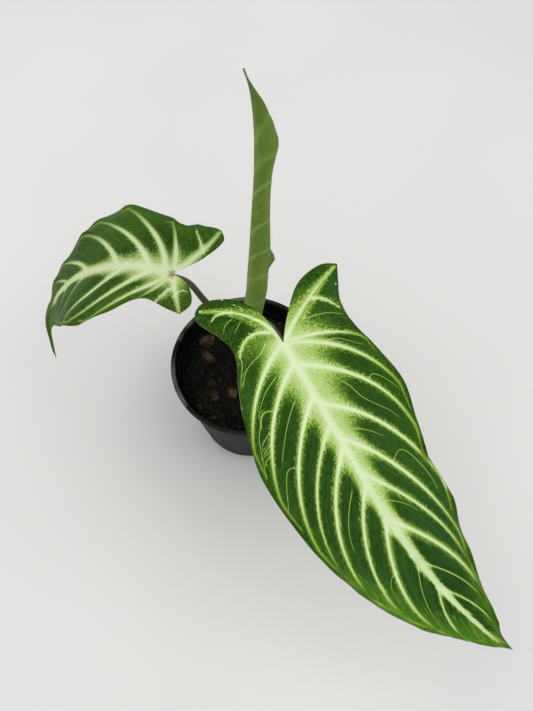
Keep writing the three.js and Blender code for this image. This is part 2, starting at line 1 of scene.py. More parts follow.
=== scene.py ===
"""Looks of a young magnificum caladium in a black nursery pot.

Two open arrow-shaped leaves with feathered pale veins, one leaf that is still rolled, their stalks, the
potting mix and the pot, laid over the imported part. Sizes are in millimetres, and a mesh is turned into
metres when it is written. +Z is up, -Y is the front, and the origin is the centre of the pot's flat base.
"""

import logging
import math
from collections.abc import Iterator
from dataclasses import dataclass
from enum import Enum

import bmesh
import bpy
import numpy as np
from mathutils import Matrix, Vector
from numpy.typing import NDArray


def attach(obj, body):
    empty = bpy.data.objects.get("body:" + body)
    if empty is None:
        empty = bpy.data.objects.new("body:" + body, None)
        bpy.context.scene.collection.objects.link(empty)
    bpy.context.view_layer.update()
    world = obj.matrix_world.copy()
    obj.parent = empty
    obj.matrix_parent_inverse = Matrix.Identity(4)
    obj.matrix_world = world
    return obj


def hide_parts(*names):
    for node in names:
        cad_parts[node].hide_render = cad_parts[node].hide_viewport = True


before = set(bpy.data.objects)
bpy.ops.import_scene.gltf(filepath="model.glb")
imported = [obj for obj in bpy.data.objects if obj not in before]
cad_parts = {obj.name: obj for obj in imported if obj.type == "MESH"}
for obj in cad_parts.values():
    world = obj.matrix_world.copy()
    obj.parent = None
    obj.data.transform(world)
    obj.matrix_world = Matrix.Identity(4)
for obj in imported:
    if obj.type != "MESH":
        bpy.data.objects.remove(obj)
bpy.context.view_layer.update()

Array = NDArray[np.float64]
Indices = NDArray[np.int64]
Point = tuple[float, ...]
Course = tuple[Point, ...]
Shades = tuple[tuple[float, str], ...]
Socket = bpy.types.NodeSocket
Colour = tuple[float, float, float, float]

MM = 0.001
TURN = 2 * math.pi
ROOT = "root"
WELD = 0.004
FAR = 99.0

log = logging.getLogger("caladium")


# Curves


def smooth_step(value: Array, low: float, high: float) -> Array:
    """Eases from 0 at low to 1 at high: 3s² - 2s³, where s is the share of the way between them."""
    share = np.clip((value - low) / (high - low), 0.0, 1.0)
    return share * share * (3.0 - 2.0 * share)


def bell(distance: Array, width: float) -> Array:
    """Falls from 1 towards 0: e to the power of minus the square of distance over width."""
    return np.exp(-((distance / width) ** 2))


def unit(ways: Array) -> Array:
    """Directions made 1 long."""
    return ways / np.linalg.norm(ways, axis=-1, keepdims=True)


def run_along(points: Array) -> Array:
    """The distance along each line of points at each point: the sum of the chords up to it."""
    chords = np.linalg.norm(np.diff(points, axis=-2), axis=-1)
    return np.concatenate([np.zeros_like(chords[..., :1]), np.cumsum(chords, axis=-1)], axis=-1)


def cubic_between(start: Array, leave: Array, end: Array, reach: Array, t: Array) -> Array:
    """The cubic from start to end whose slopes there are leave and reach, at t from 0 to 1."""
    near = (2 * t**3 - 3 * t**2 + 1) * start + (t**3 - 2 * t**2 + t) * leave
    return near + (3 * t**2 - 2 * t**3) * end + (t**3 - t**2) * reach


def curve_through(course: Course | Array, shares: Array) -> Array:
    """A smooth curve through points, run by the length of its chords.

    Each stretch is a cubic that passes its two points in the direction of the chord between their
    neighbours. An end leaves at 1.5 times the first chord's slope less half the next point's. Where
    all of a course's numbers are whole, so are its slopes: what follows the decimal point is cut off.
    Two points alone give a straight line.

    Args:
        course: The points.
        shares: Places along the curve, from 0 to 1.

    Returns:
        One point for each share.
    """
    points = np.array(course)
    knots = run_along(points)
    knots /= knots[-1]
    slopes = np.zeros_like(points)
    slopes[1:-1] = (points[2:] - points[:-2]) / (knots[2:] - knots[:-2])[:, None]
    slopes[0] = 1.5 * (points[1] - points[0]) / (knots[1] - knots[0]) - 0.5 * slopes[1]
    slopes[-1] = 1.5 * (points[-1] - points[-2]) / (knots[-1] - knots[-2]) - 0.5 * slopes[-2]
    cell = np.clip(np.searchsorted(knots, shares, side="right") - 1, 0, len(points) - 2)
    span = (knots[cell + 1] - knots[cell])[..., None]
    t = (np.clip(shares, 0.0, 1.0) - knots[cell])[..., None] / span
    return cubic_between(points[cell], span * slopes[cell], points[cell + 1], span * slopes[cell + 1], t)


def bezier(controls: list[Array], shares: Array) -> Array:
    """The Bezier curve of the control points, by cutting their chords again and again in that share.

    Args:
        controls: The control points, in order.
        shares: Places along the curve, from 0 to 1.

    Returns:
        One point for each share.
    """
    level = controls
    while len(level) > 1:
        level = [low + (high - low) * shares for low, high in zip(level[:-1], level[1:])]
    return level[0]


def evenly_along(points: Array, count: int) -> Array:
    """count points at equal distances along a fine line of points."""
    lengths = run_along(points)
    wanted = np.linspace(0.0, lengths[-1], count)
    return np.stack([np.interp(wanted, lengths, values) for values in points.T], axis=1)


def stalk_line(course: Course, count: int, fineness: int = 40) -> Array:
    """The stalks' own curve: a cubic on each stretch, timed by the square root of its chord.

    Args:
        course: The route's points.
        count: How many points the line gets.
        fineness: Points on each stretch before they are spaced.

    Returns:
        Points at equal distances along the curve.
    """
    points = np.array(course, dtype=float)
    padded = np.vstack([2 * points[0] - points[1], points, 2 * points[-1] - points[-2]])
    steps = np.sqrt(np.linalg.norm(np.diff(padded, axis=0), axis=1))[:, None]
    before, here, after, beyond = padded[:-3], padded[1:-2], padded[2:-1], padded[3:]
    into, over, out = steps[:-2], steps[1:-1], steps[2:]
    leave = ((here - before) / into - (after - before) / (into + over) + (after - here) / over) * over
    reach = ((after - here) / over - (beyond - here) / (over + out) + (beyond - after) / out) * over
    t = np.linspace(0.0, 1.0, fineness)[:, None, None]
    stretches = cubic_between(here, leave, after, reach, t)
    return evenly_along(stretches.transpose(1, 0, 2).reshape(-1, 3), count)


def distances_to(line: Array, places: Array) -> tuple[Array, Array, Array]:
    """How places in a plane lie from a line in it.

    Args:
        line: The line's points, close together.
        places: The places to measure.

    Returns:
        The distance from the line, the share along it of the nearest point, and 1 or -1 for the side.
    """
    way = np.gradient(line, axis=0)
    spacing = np.linalg.norm(way, axis=1)
    way /= np.maximum(spacing, 1e-9)[:, None]
    squares = (line**2).sum(axis=1)[None, :] - 2.0 * places @ line.T
    nearest = squares.argmin(axis=1)
    offset = places - line[nearest]
    along = (offset * way[nearest]).sum(axis=1)
    across = way[nearest, 0] * offset[:, 1] - way[nearest, 1] * offset[:, 0]
    beyond = np.maximum(np.abs(along) - spacing[nearest] / 2, 0.0)
    return np.hypot(across, beyond), nearest / (len(line) - 1), np.where(across < 0, -1.0, 1.0)


# Meshes


@dataclass
class Patch:
    """A stretch of surface: its points, its triangles and what its finish needs to know at each point."""

    points: Array
    triangles: Indices
    values: dict[str, Array]


def grid_triangles(rows: int, columns: int, flipped: bool = False) -> Indices:
    """Two triangles for each cell of a grid of points numbered row by row.

    Args:
        rows: Rows of points.
        columns: Points in each row.
        flipped: Whether the triangles face the other way.

    Returns:
        Three point numbers for each triangle.
    """
    index = np.arange(rows * columns).reshape(rows, columns)
    near, right, far, left = index[:-1, :-1], index[:-1, 1:], index[1:, 1:], index[1:, :-1]
    cells = np.concatenate([np.stack([near, right, far], -1), np.stack([near, far, left], -1)], axis=1)
    triangles = cells.reshape(-1, 3)
    return triangles[:, ::-1] if flipped else triangles


def point_normals(points: Array, triangles: Indices) -> Array:
    """Unit normals at the points, each the sum of its triangles' normals weighted by their area.

    Args:
        points: The points.
        triangles: Three point numbers for each triangle.

    Returns:
        One normal for each point.
    """
    corners = points[triangles]
    normals = np.cross(corners[:, 1] - corners[:, 0], corners[:, 2] - corners[:, 0])
    total = np.zeros_like(points)
    for corner in triangles.T:
        for axis in range(3):
            total[:, axis] += np.bincount(corner, normals[:, axis], minlength=len(points))
    return total / np.maximum(np.linalg.norm(total, axis=1, keepdims=True), 1e-12)


def open_edges(triangles: Indices) -> Indices:
    """The directed edges that only one triangle has.

    Args:
        triangles: Three point numbers for each triangle.

    Returns:
        The numbers of each edge's two points.
    """
    edges = np.concatenate([triangles[:, [0, 1]], triangles[:, [1, 2]], triangles[:, [2, 0]]])
    span = int(triangles.max()) + 1
    forward, backward = edges[:, 0] * span + edges[:, 1], edges[:, 1] * span + edges[:, 0]
    return edges[~np.isin(forward, backward)]


def joined(patches: list[Patch]) -> Patch:
    """One patch of several, with points in one cell of the weld made one and empty triangles left out.

    Args:
        patches: The patches, which hold the same values.

    Returns:
        The patch.
    """
    points = np.concatenate([patch.points for patch in patches])
    starts = np.cumsum([0] + [len(patch.points) for patch in patches[:-1]])
    triangles = np.concatenate([patch.triangles + start for patch, start in zip(patches, starts)])
    cells = np.round(points / WELD).astype(np.int64)
    _, first, number = np.unique(cells, axis=0, return_index=True, return_inverse=True)
    triangles = number.reshape(-1)[triangles]
    a, b, c = triangles.T
    whole = (a != b) & (b != c) & (c != a)
    names = patches[0].values
    values = {name: np.concatenate([patch.values[name] for patch in patches])[first] for name in names}
    return Patch(points[first], triangles[whole], values)


def closed_sheet(near: Patch, depths: Array) -> Patch:
    """Gives a sheet its thickness.

    Args:
        near: The near face.
        depths: How far the far face lies behind it along the normal, at each point.

    Returns:
        The near face, then the far face, then the walls between their edges.
    """
    count = len(near.points)
    far = near.points - point_normals(near.points, near.triangles) * depths[:, None]
    start, end = open_edges(near.triangles).T
    corners = ([end, start, start + count], [end, start + count, end + count])
    walls = np.concatenate([np.stack(triangle, axis=1) for triangle in corners])
    triangles = np.concatenate([near.triangles, near.triangles[:, ::-1] + count, walls])
    values = {name: np.concatenate([value, value]) for name, value in near.values.items()}
    return Patch(np.concatenate([near.points, far]), triangles, values)


def turned_profile(profile: Array, segments: int) -> Patch:
    """A profile of radius and height turned about the Z axis, with a pole where the radius is 0.

    Args:
        profile: Radius and height of its points.
        segments: Steps in the turn.

    Returns:
        The closed surface.
    """
    angles = np.linspace(0.0, TURN, segments + 1)[:, None]
    radii, heights = profile.T
    points = np.stack([radii * np.cos(angles), radii * np.sin(angles), heights + 0 * angles], axis=-1)
    return joined([Patch(points.reshape(-1, 3), grid_triangles(*points.shape[:2]), {})])


def rounded(corners: list[Point], steps: int = 6) -> Array:
    """A profile whose corners are rounded: each is the curve that its two tangent points and it control.

    Args:
        corners: Radius, height and rounding of each corner. A rounding of 0 keeps it sharp.
        steps: Stretches in each rounding.

    Returns:
        The profile's points.
    """
    places = np.array(corners)[:, :2]
    points = []
    for number, (place, corner) in enumerate(zip(places, corners)):
        rounding = corner[2]
        if rounding == 0 or number in (0, len(corners) - 1):
            points.append(place[None])
            continue
        ends = []
        for way in (places[number - 1] - place, places[number + 1] - place):
            ends.append(place + unit(way) * min(rounding, 0.45 * np.linalg.norm(way)))
        points.append(bezier([ends[0], place, ends[1]], np.linspace(0.0, 1.0, steps + 1)[:, None]))
    return np.concatenate(points)


def to_object(name: str, patch: Patch) -> bpy.types.Object:
    """Writes a patch as a smooth-shaded mesh object in metres.

    Args:
        name: The object's name.
        patch: The surface, whose values become attributes of the points.

    Returns:
        The object, in the scene.
    """
    mesh = bpy.data.meshes.new(name)
    mesh.vertices.add(len(patch.points))
    mesh.vertices.foreach_set("co", (patch.points * MM).astype(np.float32).ravel())
    corners = patch.triangles.size
    mesh.loops.add(corners)
    mesh.loops.foreach_set("vertex_index", patch.triangles.astype(np.int32).ravel())
    mesh.polygons.add(len(patch.triangles))
    mesh.polygons.foreach_set("loop_start", np.arange(0, corners, 3, dtype=np.int32))
    mesh.update(calc_edges=True)
    mesh.polygons.foreach_set("use_smooth", np.ones(len(patch.triangles), dtype=bool))
    for key, value in patch.values.items():
        mesh.attributes.new(key, "FLOAT", "POINT").data.foreach_set("value", value.astype(np.float32))
    mesh.validate()
    return linked(bpy.data.objects.new(name, mesh))


def linked(thing: bpy.types.Object) -> bpy.types.Object:
    """Puts an object in the scene."""
    bpy.context.scene.collection.objects.link(thing)
    return thing


def finish_piece(piece: bpy.types.Object, node: str, slot: str, *materials: bpy.types.Material) -> None:
    """Dresses a piece, and lets it ride on the body and stand for its node.

    Args:
        piece: The piece's object.
        node: The part's node that it replaces.
        slot: The name of its finish; not used.
        materials: Its materials, in the order of the slots that its faces name.
    """
    piece.data.materials.clear()
    for material in materials:
        piece.data.materials.append(material)
    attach(piece, ROOT)
    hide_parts(node)
    log.info("%s: %d triangles for %s", piece.name, len(piece.data.polygons), node)


# Materials


def srgb(code: str) -> Colour:
    """The linear colour of a screen colour such as 2f6424."""
    parts = [int(code[start : start + 2], 16) / 255 for start in (0, 2, 4)]
    red, green, blue = (p / 12.92 if p <= 0.04045 else ((p + 0.055) / 1.055) ** 2.4 for p in parts)
    return (red, green, blue, 1.0)


class Value:
    """A number that a material works out at each point. Sums and products of such numbers are nodes too."""

    def __init__(self, graph: "Graph", socket: Socket) -> None:
        """Keeps the graph and the socket that holds the number."""
        self.graph = graph
        self.socket = socket

    def __add__(self, other: "Value | float") -> "Value":
        """The sum."""
        return self.graph.math("ADD", self, other)

    def __sub__(self, other: "Value | float") -> "Value":
        """The difference."""
        return self.graph.math("SUBTRACT", self, other)

    def __rsub__(self, other: float) -> "Value":
        """The difference from a plain number."""
        return self.graph.math("SUBTRACT", other, self)

    def __mul__(self, other: "Value | float") -> "Value":
        """The product."""
        return self.graph.math("MULTIPLY", self, other)

    def __abs__(self) -> "Value":
        """The number without its sign."""
        return self.graph.math("ABSOLUTE", self)

    def eased(self, low: float, high: float, start: float = 0.0, end: float = 1.0) -> "Value":
        """Eases from start, where this number is low, to end, where it is high."""
        inputs = {"Value": self, "From Min": low, "From Max": high, "To Min": start, "To Max": end}
        node = self.graph.node("ShaderNodeMapRange", inputs, interpolation_type="SMOOTHSTEP")
        return Value(self.graph, node.outputs["Result"])


class Graph:
    """The nodes of one material, with a short call for each kind."""

    def __init__(self, name: str, roughness: float = 0.5, specular: float = 0.5) -> None:
        """Starts a material with its surface shader.

        Args:
            name: The material's name.
            roughness: The shader's roughness where nothing is linked to it.
            specular: The shader's specular level.
        """
        self.material = bpy.data.materials.new(name)
        self.material.use_nodes = True
        self.tree = self.material.node_tree
        self.shader = self.tree.nodes["Principled BSDF"]
        self.wear(Roughness=roughness, Specular_IOR_Level=specular)

    def plug(self, socket: Socket, value: object) -> None:
        """Links an input to another socket, or sets it."""
        source = value.socket if isinstance(value, Value) else value
        if isinstance(source, Socket):
            self.tree.links.new(source, socket)
        else:
            socket.default_value = source

    def node(self, kind: str, inputs: dict[str | int, object], **settings: object) -> bpy.types.Node:
        """Adds a node.

        Args:
            kind: Blender's name for the node.
            inputs: What each input is linked to or set to.
            settings: The node's own settings.

        Returns:
            The node.
        """
        node = self.tree.nodes.new(kind)
        for key, setting in settings.items():
            setattr(node, key, setting)
        for key, value in inputs.items():
            self.plug(node.inputs[key], value)
        return node

    def math(self, operation: str, first: Value | float, second: Value | float = 0.0) -> Value:
        """The result of an operation on one or two numbers."""
        node = self.node("ShaderNodeMath", {0: first, 1: second}, operation=operation)
        return Value(self, node.outputs[0])

    def attribute(self, name: str) -> Value:
        """A number that the mesh holds at each point."""
        return Value(self, self.node("ShaderNodeAttribute", {}, attribute_name=name).outputs["Fac"])

    def place(self) -> Socket:
        """The place on the object, in metres."""
        return self.node("ShaderNodeTexCoord", {}).outputs["Object"]

    def plane(self, across: str, upward: str) -> Socket:
        """A place by two of the mesh's own numbers, in millimetres."""
        inputs = {0: self.attribute(across), 1: self.attribute(upward), 2: 0.0}
        return self.node("ShaderNodeCombineXYZ", inputs).outputs["Vector"]

    def stretched(self, vector: Socket, *scale: float) -> Socket:
        """A place stretched by a scale along each axis."""
        return self.node("ShaderNodeMapping", {"Vector": vector, "Scale": scale}).outputs["Vector"]

    def split(self, vector: Socket) -> list[Value]:
        """The three numbers of a place or a colour."""
        return [Value(self, socket) for socket in self.node("ShaderNodeSeparateXYZ", {0: vector}).outputs]

    def noise(self, vector: Socket, scale: float = 1.0, detail: float = 2.0, roughness: float = 0.5) -> Value:
        """Cloudy noise from about 0 to 1."""
        inputs = {"Vector": vector, "Scale": scale, "Detail": detail, "Roughness": roughness}
        return Value(self, self.node("ShaderNodeTexNoise", inputs).outputs["Fac"])

    def cells(self, vector: Socket, scale: float) -> tuple[Value, Value]:
        """Scattered cells: the distance from each one's centre, and a number of its own."""
        outputs = self.node("ShaderNodeTexVoronoi", {"Vector": vector, "Scale": scale}).outputs
        return Value(self, outputs["Distance"]), self.split(outputs["Color"])[0]

    def either(self, *values: Value) -> Value:
        """1 less the product of what each number leaves open, so that pale marks build up softly."""
        left_open = 1.0 - values[0]
        for value in values[1:]:
            left_open = left_open * (1.0 - value)
        return 1.0 - left_open

    def ramp(self, value: Value, shades: Shades) -> Socket:
        """A colour that runs through the shades, each with the number that it stands at.

        Args:
            value: Where on the run a place is.
            shades: Each shade's position and its screen colour.

        Returns:
            The colour.
        """
        node = self.node("ShaderNodeValToRGB", {0: value})
        elements = node.color_ramp.elements
        while len(elements) < len(shades):
            elements.new(0.5)
        for element, (position, code) in zip(elements, shades):
            element.position = position
            element.color = srgb(code)
        return node.outputs["Color"]

    def mix(self, share: Value, first: Socket | str, second: str) -> Socket:
        """A colour blended by a share with a second one."""
        base = srgb(first) if isinstance(first, str) else first
        node = self.node("ShaderNodeMix", {0: share, 6: base, 7: srgb(second)}, data_type="RGBA")
        return node.outputs[2]

    def bump(self, height: Value, depth: float, normal: Socket | None = None) -> Socket:
        """A relief of the surface.

        Args:
            height: How high the surface stands.
            depth: How far a height of 1 is, in millimetres.
            normal: Another relief below it.

        Returns:
            The normal.
        """
        inputs: dict[str | int, object] = {"Height": height, "Distance": depth * MM}
        if normal is not None:
            inputs["Normal"] = normal
        return self.node("ShaderNodeBump", inputs).outputs["Normal"]

    def wear(self, **inputs: Value | Socket | float) -> bpy.types.Material:
        """Links or sets the shader's inputs by their names, and returns the material."""
        for key, value in inputs.items():
            self.plug(self.shader.inputs[key.replace("_", " ")], value)
        return self.material


# Finishes


@dataclass(frozen=True)
class VeinedBlade:
    """The upper face of an open leaf: dark green, with pale veins whose edges run out in short strokes.

    The shades run from the blade's green to the palest vein. Lengths are in millimetres: the strokes' own,
    the grain's between them, the spacing of the lines that run out from the midrib, and the mesh of the
    net. comb_lines is the lines a millimetre of the pale comb at the margin. scar is how brown the notch
    is, and mottle how strongly the green is clouded.
    """

    name: str
    shades: Shades
    stroke_length: float = 3.0
    stroke_width: float = 0.95
    grain: float = 1.2
    line_spacing: float = 1.0
    comb_lines: float = 0.85
    net_size: tuple[float, float] = (5.0, 2.4)
    scar: float = 0.0
    mottle: float = 1.0
    painted_sheen_green: str = "28502c"
    crease_sheen_green: str = "94bf8c"
    scar_brown: str = "6b4a20"
    painted_glint_blue: str = "cfe6e4"

    def material(self) -> bpy.types.Material:
        """The finish as a material."""
        graph = Graph(self.name, roughness=0.42, specular=0.08)
        flow = graph.plane("along", "over")
        place = graph.place()
        paleness = self.paleness(graph, flow)
        lines = graph.noise(graph.stretched(flow, 0.05, 1 / self.line_spacing, 1))
        green = paleness.eased(0.0, 0.3, 1.0, 0.0)
        hue = self.clouded(graph, graph.ramp(paleness, self.shades), lines, green)
        # Painted sheen: pale bluish green in patches along the midrib's crease.
        pieces = graph.noise(place, 16.0, 1.0).eased(0.48, 0.6, 0.0, 0.3)
        crease = graph.attribute("midrib").eased(0.1, 0.5, 1.0, 0.0)
        hue = graph.mix(crease * pieces, hue, self.crease_sheen_green)
        frayed = (graph.noise(place, 600.0, 3.0, 0.7) - 0.5) * 9.0
        scar = (graph.attribute("hub") + frayed).eased(0.2, 4.2, self.scar, 0.0)
        hue = graph.mix(scar, hue, self.scar_brown)
        # Painted highlights: small pale bluish glints near the margin.
        hue = graph.mix(self.painted_glints(graph), hue, self.painted_glint_blue)
        pimples = graph.bump(graph.noise(place, 1000.0), 0.1)
        return graph.wear(Base_Color=hue, Normal=graph.bump(lines, 0.08, pimples))

    def clouded(self, graph: Graph, hue: Socket, lines: Value, green: Value) -> Socket:
        """Makes the green between the veins lighter and darker, darker on a lobe as painted shade, and gives
        it a bluish painted sheen in places.

        Args:
            graph: The material's nodes.
            hue: The colour so far.
            lines: Noise drawn out from the midrib to the margin.
            green: 1 on the green, and 0 on a pale vein.

        Returns:
            The colour.
        """
        place = graph.place()
        cloud = graph.noise(place, 26.0, 3.0).eased(0.3, 0.7, -0.16 * self.mottle, 0.14 * self.mottle)
        grain = graph.noise(place, 420.0, 3.0, 0.6).eased(0.35, 0.65, -0.14, 0.14)
        # glow brightens the margin and also darkens a lobe as painted shade.
        drift = (cloud + (lines - 0.5) * 1.8 + grain + graph.attribute("glow") * 0.95) * green
        hue = graph.node("ShaderNodeHueSaturation", {"Value": drift + 1.0, "Color": hue}).outputs["Color"]
        # Painted sheen: patches of bluish green on the dark green, as the sky's reflection.
        painted_sheen = graph.noise(place, 14.0).eased(0.5, 0.75, 0.0, 0.4)
        return graph.mix(painted_sheen * green, hue, self.painted_sheen_green)

    def strokes(self, graph: Graph, flow: Socket, along: float, over: float) -> Value:
        """Short strokes of a length along the veins and one over them, from about -0.5 to 0.5."""
        return graph.noise(graph.stretched(flow, 1 / along, 1 / over, 1), 1.0, 3.0, 0.65) - 0.5

    def paleness(self, graph: Graph, flow: Socket) -> Value:
        """How pale the blade is.

        Args:
            graph: The material's nodes.
            flow: The place by its distances along and over the veins.

        Returns:
            0 between the veins, and up to 1 on them.
        """
        value = graph.attribute
        strokes = self.strokes(graph, flow, self.stroke_width, self.stroke_length)
        teeth = self.strokes(graph, flow, self.stroke_length, self.stroke_width)
        fine = graph.stretched(flow, 0.6 / self.grain, 1.3 / self.grain, 1)
        grains = graph.noise(fine, 1.0, 4.0, 0.7) - 0.5
        rough = (strokes + grains) * 1.7
        core = (value("core") + rough).eased(0.25, 1.35, 0.9, 0.0)
        branch = (abs(value("branch")) + rough).eased(0.3, 1.25, 0.75, 0.0)
        halo = (strokes * 3.2 + grains * 1.2 + value("halo")).eased(0.05, 0.85, 0.0, 0.52)
        spine = (teeth * 4.5 + value("spine")).eased(0.0, 0.75, 0.0, 0.55)
        haze = (strokes * 0.6 + grains * 1.5 + value("haze")).eased(-0.12, 0.82, 0.0, 0.68)
        thread = abs(value("fine")).eased(0.35, 1.2, 0.5, 0.0)
        comb = graph.noise(graph.stretched(flow, 0.05, self.comb_lines, 1), 1.0, 3.0, 0.6)
        comb = comb.eased(0.5, 0.62, 0.0, 0.3) * value("glow").eased(0.04, 0.35)
        veins = graph.either(core, branch, halo, spine) * value("vigour")
        return graph.either(veins, haze, thread, comb, self.net(graph, flow))

    def net(self, graph: Graph, flow: Socket) -> Value:
        """The faint net of the smallest veins near the margin: the seams between bent cells.

        Args:
            graph: The material's nodes.
            flow: The place by its distances along and over the veins.

        Returns:
            How pale it makes the blade.
        """
        wander = graph.node("ShaderNodeTexNoise", {"Vector": flow, "Scale": 0.35}).outputs["Color"]
        bent = graph.node("ShaderNodeVectorMath", {0: flow, 1: wander}, operation="ADD").outputs["Vector"]
        mesh_run, mesh_width = self.net_size
        inputs = {"Vector": graph.stretched(bent, 1 / mesh_run, 1 / mesh_width, 1), "Scale": 1.0}
        seams = graph.node("ShaderNodeTexVoronoi", inputs, feature="DISTANCE_TO_EDGE").outputs["Distance"]
        near = graph.attribute("edge").eased(4.0, 11.0, 0.16, 0.0)
        return Value(graph, seams).eased(0.02, 0.09, 1.0, 0.0) * near

    def painted_glints(self, graph: Graph) -> Value:
        """Painted highlights: a few small pale bluish glints near the margin, and more on the lobe's rim."""
        distance, own = graph.cells(graph.place(), 260.0)
        few = (own + graph.attribute("glint_rim") * 0.4).eased(0.93, 0.95)
        small = distance.eased(0.12, 0.2, 1.0, 0.0)
        return few * small * graph.attribute("edge").eased(2.0, 6.0, 0.75, 0.0)


@dataclass(frozen=True)
class PaleUnderside:
    """The lower face of an open leaf: dull light green with paler ribs."""

    name: str = "leaf_lower_face"
    shades: Shades = ((0.0, "54773a"), (0.4, "7f9c5c"), (0.75, "adc38a"), (1.0, "cfdcb0"))

    def material(self) -> bpy.types.Material:
        """The finish as a material."""
        graph = Graph(self.name, roughness=0.55, specular=0.3)
        place = graph.place()
        core = graph.attribute("core").eased(0.5, 1.5, 1.0, 0.0)
        haze = graph.attribute("haze").eased(0.1, 1.0, 0.0, 0.45)
        cloud = graph.noise(place, 60.0, 3.0).eased(0.3, 0.7, 0.0, 0.25)
        hue = graph.ramp(graph.either(core, haze, cloud), self.shades)
        return graph.wear(Base_Color=hue, Normal=graph.bump(graph.noise(place, 1100.0), 0.15))


@dataclass(frozen=True)
class RolledSkin:
    """The rolled leaf's outside, which is its lower face: olive green with soft pale rising bands, and a
    painted sheen that is paler near the midrib and fades towards the free edge and the top.
    """

    name: str = "rolled_leaf_skin"
    shades: Shades = ((0.0, "4b6417"), (0.3, "607b28"), (0.6, "7a963f"), (1.0, "a3bc62"))
    foot_heights: tuple[float, float] = (215.0, 135.0)

    def material(self) -> bpy.types.Material:
        """The finish as a material."""
        graph = Graph(self.name, roughness=0.55, specular=0.2)
        streak = graph.noise(graph.stretched(graph.plane("out", "height"), 0.9, 0.12, 1), 1.0, 3.0)
        band = graph.attribute("band") * (streak * 1.2 + 0.4) * 0.5
        rib = abs(graph.attribute("out")).eased(0.3, 1.8, 0.2, 0.0)
        # Painted sheen: paler near the midrib, darker towards the free edges and the top.
        body = graph.attribute("sheen").eased(0.0, 1.0, 0.02, 0.26)
        cloud = streak.eased(0.3, 0.7, 0.0, 0.18)
        foot = graph.attribute("height").eased(*self.foot_heights, 0.0, 0.4)
        hue = graph.ramp(graph.either(band, rib, body, cloud, foot), self.shades)
        return graph.wear(Base_Color=hue, Normal=graph.bump(streak, 0.2))


@dataclass(frozen=True)
class StalkSkin:
    """A stalk's smooth skin, with fine streaks along it and a paler head."""

    name: str
    dark: str
    light: str
    head: str

    def material(self) -> bpy.types.Material:
        """The finish as a material."""
        graph = Graph(self.name, roughness=0.42, specular=0.4)
        drawn_out = graph.stretched(graph.plane("around", "along"), 9.0, 0.1, 1)
        streak = graph.noise(drawn_out, 1.0, 4.0).eased(0.3, 0.7)
        hue = graph.mix(streak, self.dark, self.light)
        hue = graph.mix(graph.attribute("rise").eased(0.86, 1.0, 0.0, 0.7), hue, self.head)
        return graph.wear(Base_Color=hue, Normal=graph.bump(streak, 0.08))


@dataclass(frozen=True)
class PotPlastic:
    """Moulded black plastic, a little scuffed and dusty where it is handled, with pale patches on the lip
    that are partly wear and partly painted highlight.
    """

    name: str = "pot_plastic"
    black: str = "090a0b"
    dusty: str = "1c1b1a"
    scuffed: str = "4a4a4c"
    worn_and_highlit_lip: str = "77756f"
    lip_heights: tuple[float, float] = (0.0893, 0.0903)

    def material(self) -> bpy.types.Material:
        """The finish as a material."""
        graph = Graph(self.name, specular=0.1)
        place = graph.place()
        lip = graph.split(place)[2].eased(*self.lip_heights)
        patch = graph.noise(place, 32.0, 4.0, 0.6).eased(0.46, 0.6, 0.05, 0.7)
        dust = graph.noise(place, 70.0, 5.0, 0.6).eased(0.45, 0.75)
        scuff = graph.noise(graph.stretched(place, 1.0, 1.0, 5.0), 400.0, 3.0).eased(0.55, 0.8)
        hue = graph.mix(dust * 0.4, self.black, self.dusty)
        hue = graph.mix(scuff * 0.25, hue, self.scuffed)
        # Pale patches on the lip: partly scuffs, partly a painted highlight.
        hue = graph.mix(lip * patch, hue, self.worn_and_highlit_lip)
        skin = graph.bump(graph.noise(place, 1500.0), 0.05)
        return graph.wear(Base_Color=hue, Roughness=dust * 0.15 + 0.5, Normal=skin)


@dataclass(frozen=True)
class PottingSoil:
    """Damp peat and bark: near black crumbs, with reddish brown on the larger pieces."""

    name: str = "potting_mix"
    shades: Shades = ((0.15, "060503"), (0.45, "130f09"), (0.75, "2f271a"), (1.0, "5a4838"))

    def material(self) -> bpy.types.Material:
        """The finish as a material."""
        graph = Graph(self.name, roughness=0.85, specular=0.25)
        place = graph.place()
        fibre = graph.noise(graph.stretched(place, 1.0, 2.6, 1.0), 420.0, 5.0, 0.65)
        clod = graph.noise(place, 95.0, 3.0, 0.6).eased(0.38, 0.62, -0.2, 0.16)
        hue = graph.ramp(fibre * 0.4 + graph.attribute("tint") + clod, self.shades)
        crumb = graph.noise(place, 700.0, 4.0, 0.7)
        return graph.wear(Base_Color=hue, Normal=graph.bump(crumb, 0.6, graph.bump(fibre, 0.4)))


@dataclass(frozen=True)
class CorkySkin:
    """The rhizome's dull brown skin, with rings."""

    name: str = "rhizome_skin"
    shades: Shades = ((0.3, "4a3220"), (0.55, "75553a"), (0.8, "9a7a58"))

    def material(self) -> bpy.types.Material:
        """The finish as a material."""
        graph = Graph(self.name, roughness=0.8, specular=0.2)
        rings = graph.noise(graph.stretched(graph.place(), 0.3, 0.3, 1.6), 260.0, 4.0)
        return graph.wear(Base_Color=graph.ramp(rings, self.shades), Normal=graph.bump(rings, 0.5))


@dataclass(frozen=True)
class PaleFloor:
    """The plain floor's soft off-white."""

    name: str = "floor"

    def material(self) -> bpy.types.Material:
        """The finish as a material."""
        graph = Graph(self.name, roughness=0.7, specular=0.2)
        cloud = graph.noise(graph.place(), 3.0).eased(0.3, 0.7)
        return graph.wear(Base_Color=graph.mix(cloud, "dfdedb", "e4e3e0"))


# Open leaves


class Side(Enum):
    """Which half of a leaf, looking from its tip back to its stalk, as a sign."""

    LEFT = 1
    RIGHT = -1


@dataclass(frozen=True)
class Vein:
    """A side vein: where it leaves the midrib and where it ends, as shares of the midrib.

    A start below zero lies on the basal rib, as a share of that rib. A weak vein is thin and less pale.
    """

    start: float
    end: float
    strength: float = 1.0


@dataclass(frozen=True)
class Branch:
    """A vein of the lobe, by the places it runs through, and half its width at its foot and its end."""

    course: Course
    foot_width: float = 1.2
    end_width: float = 0.3


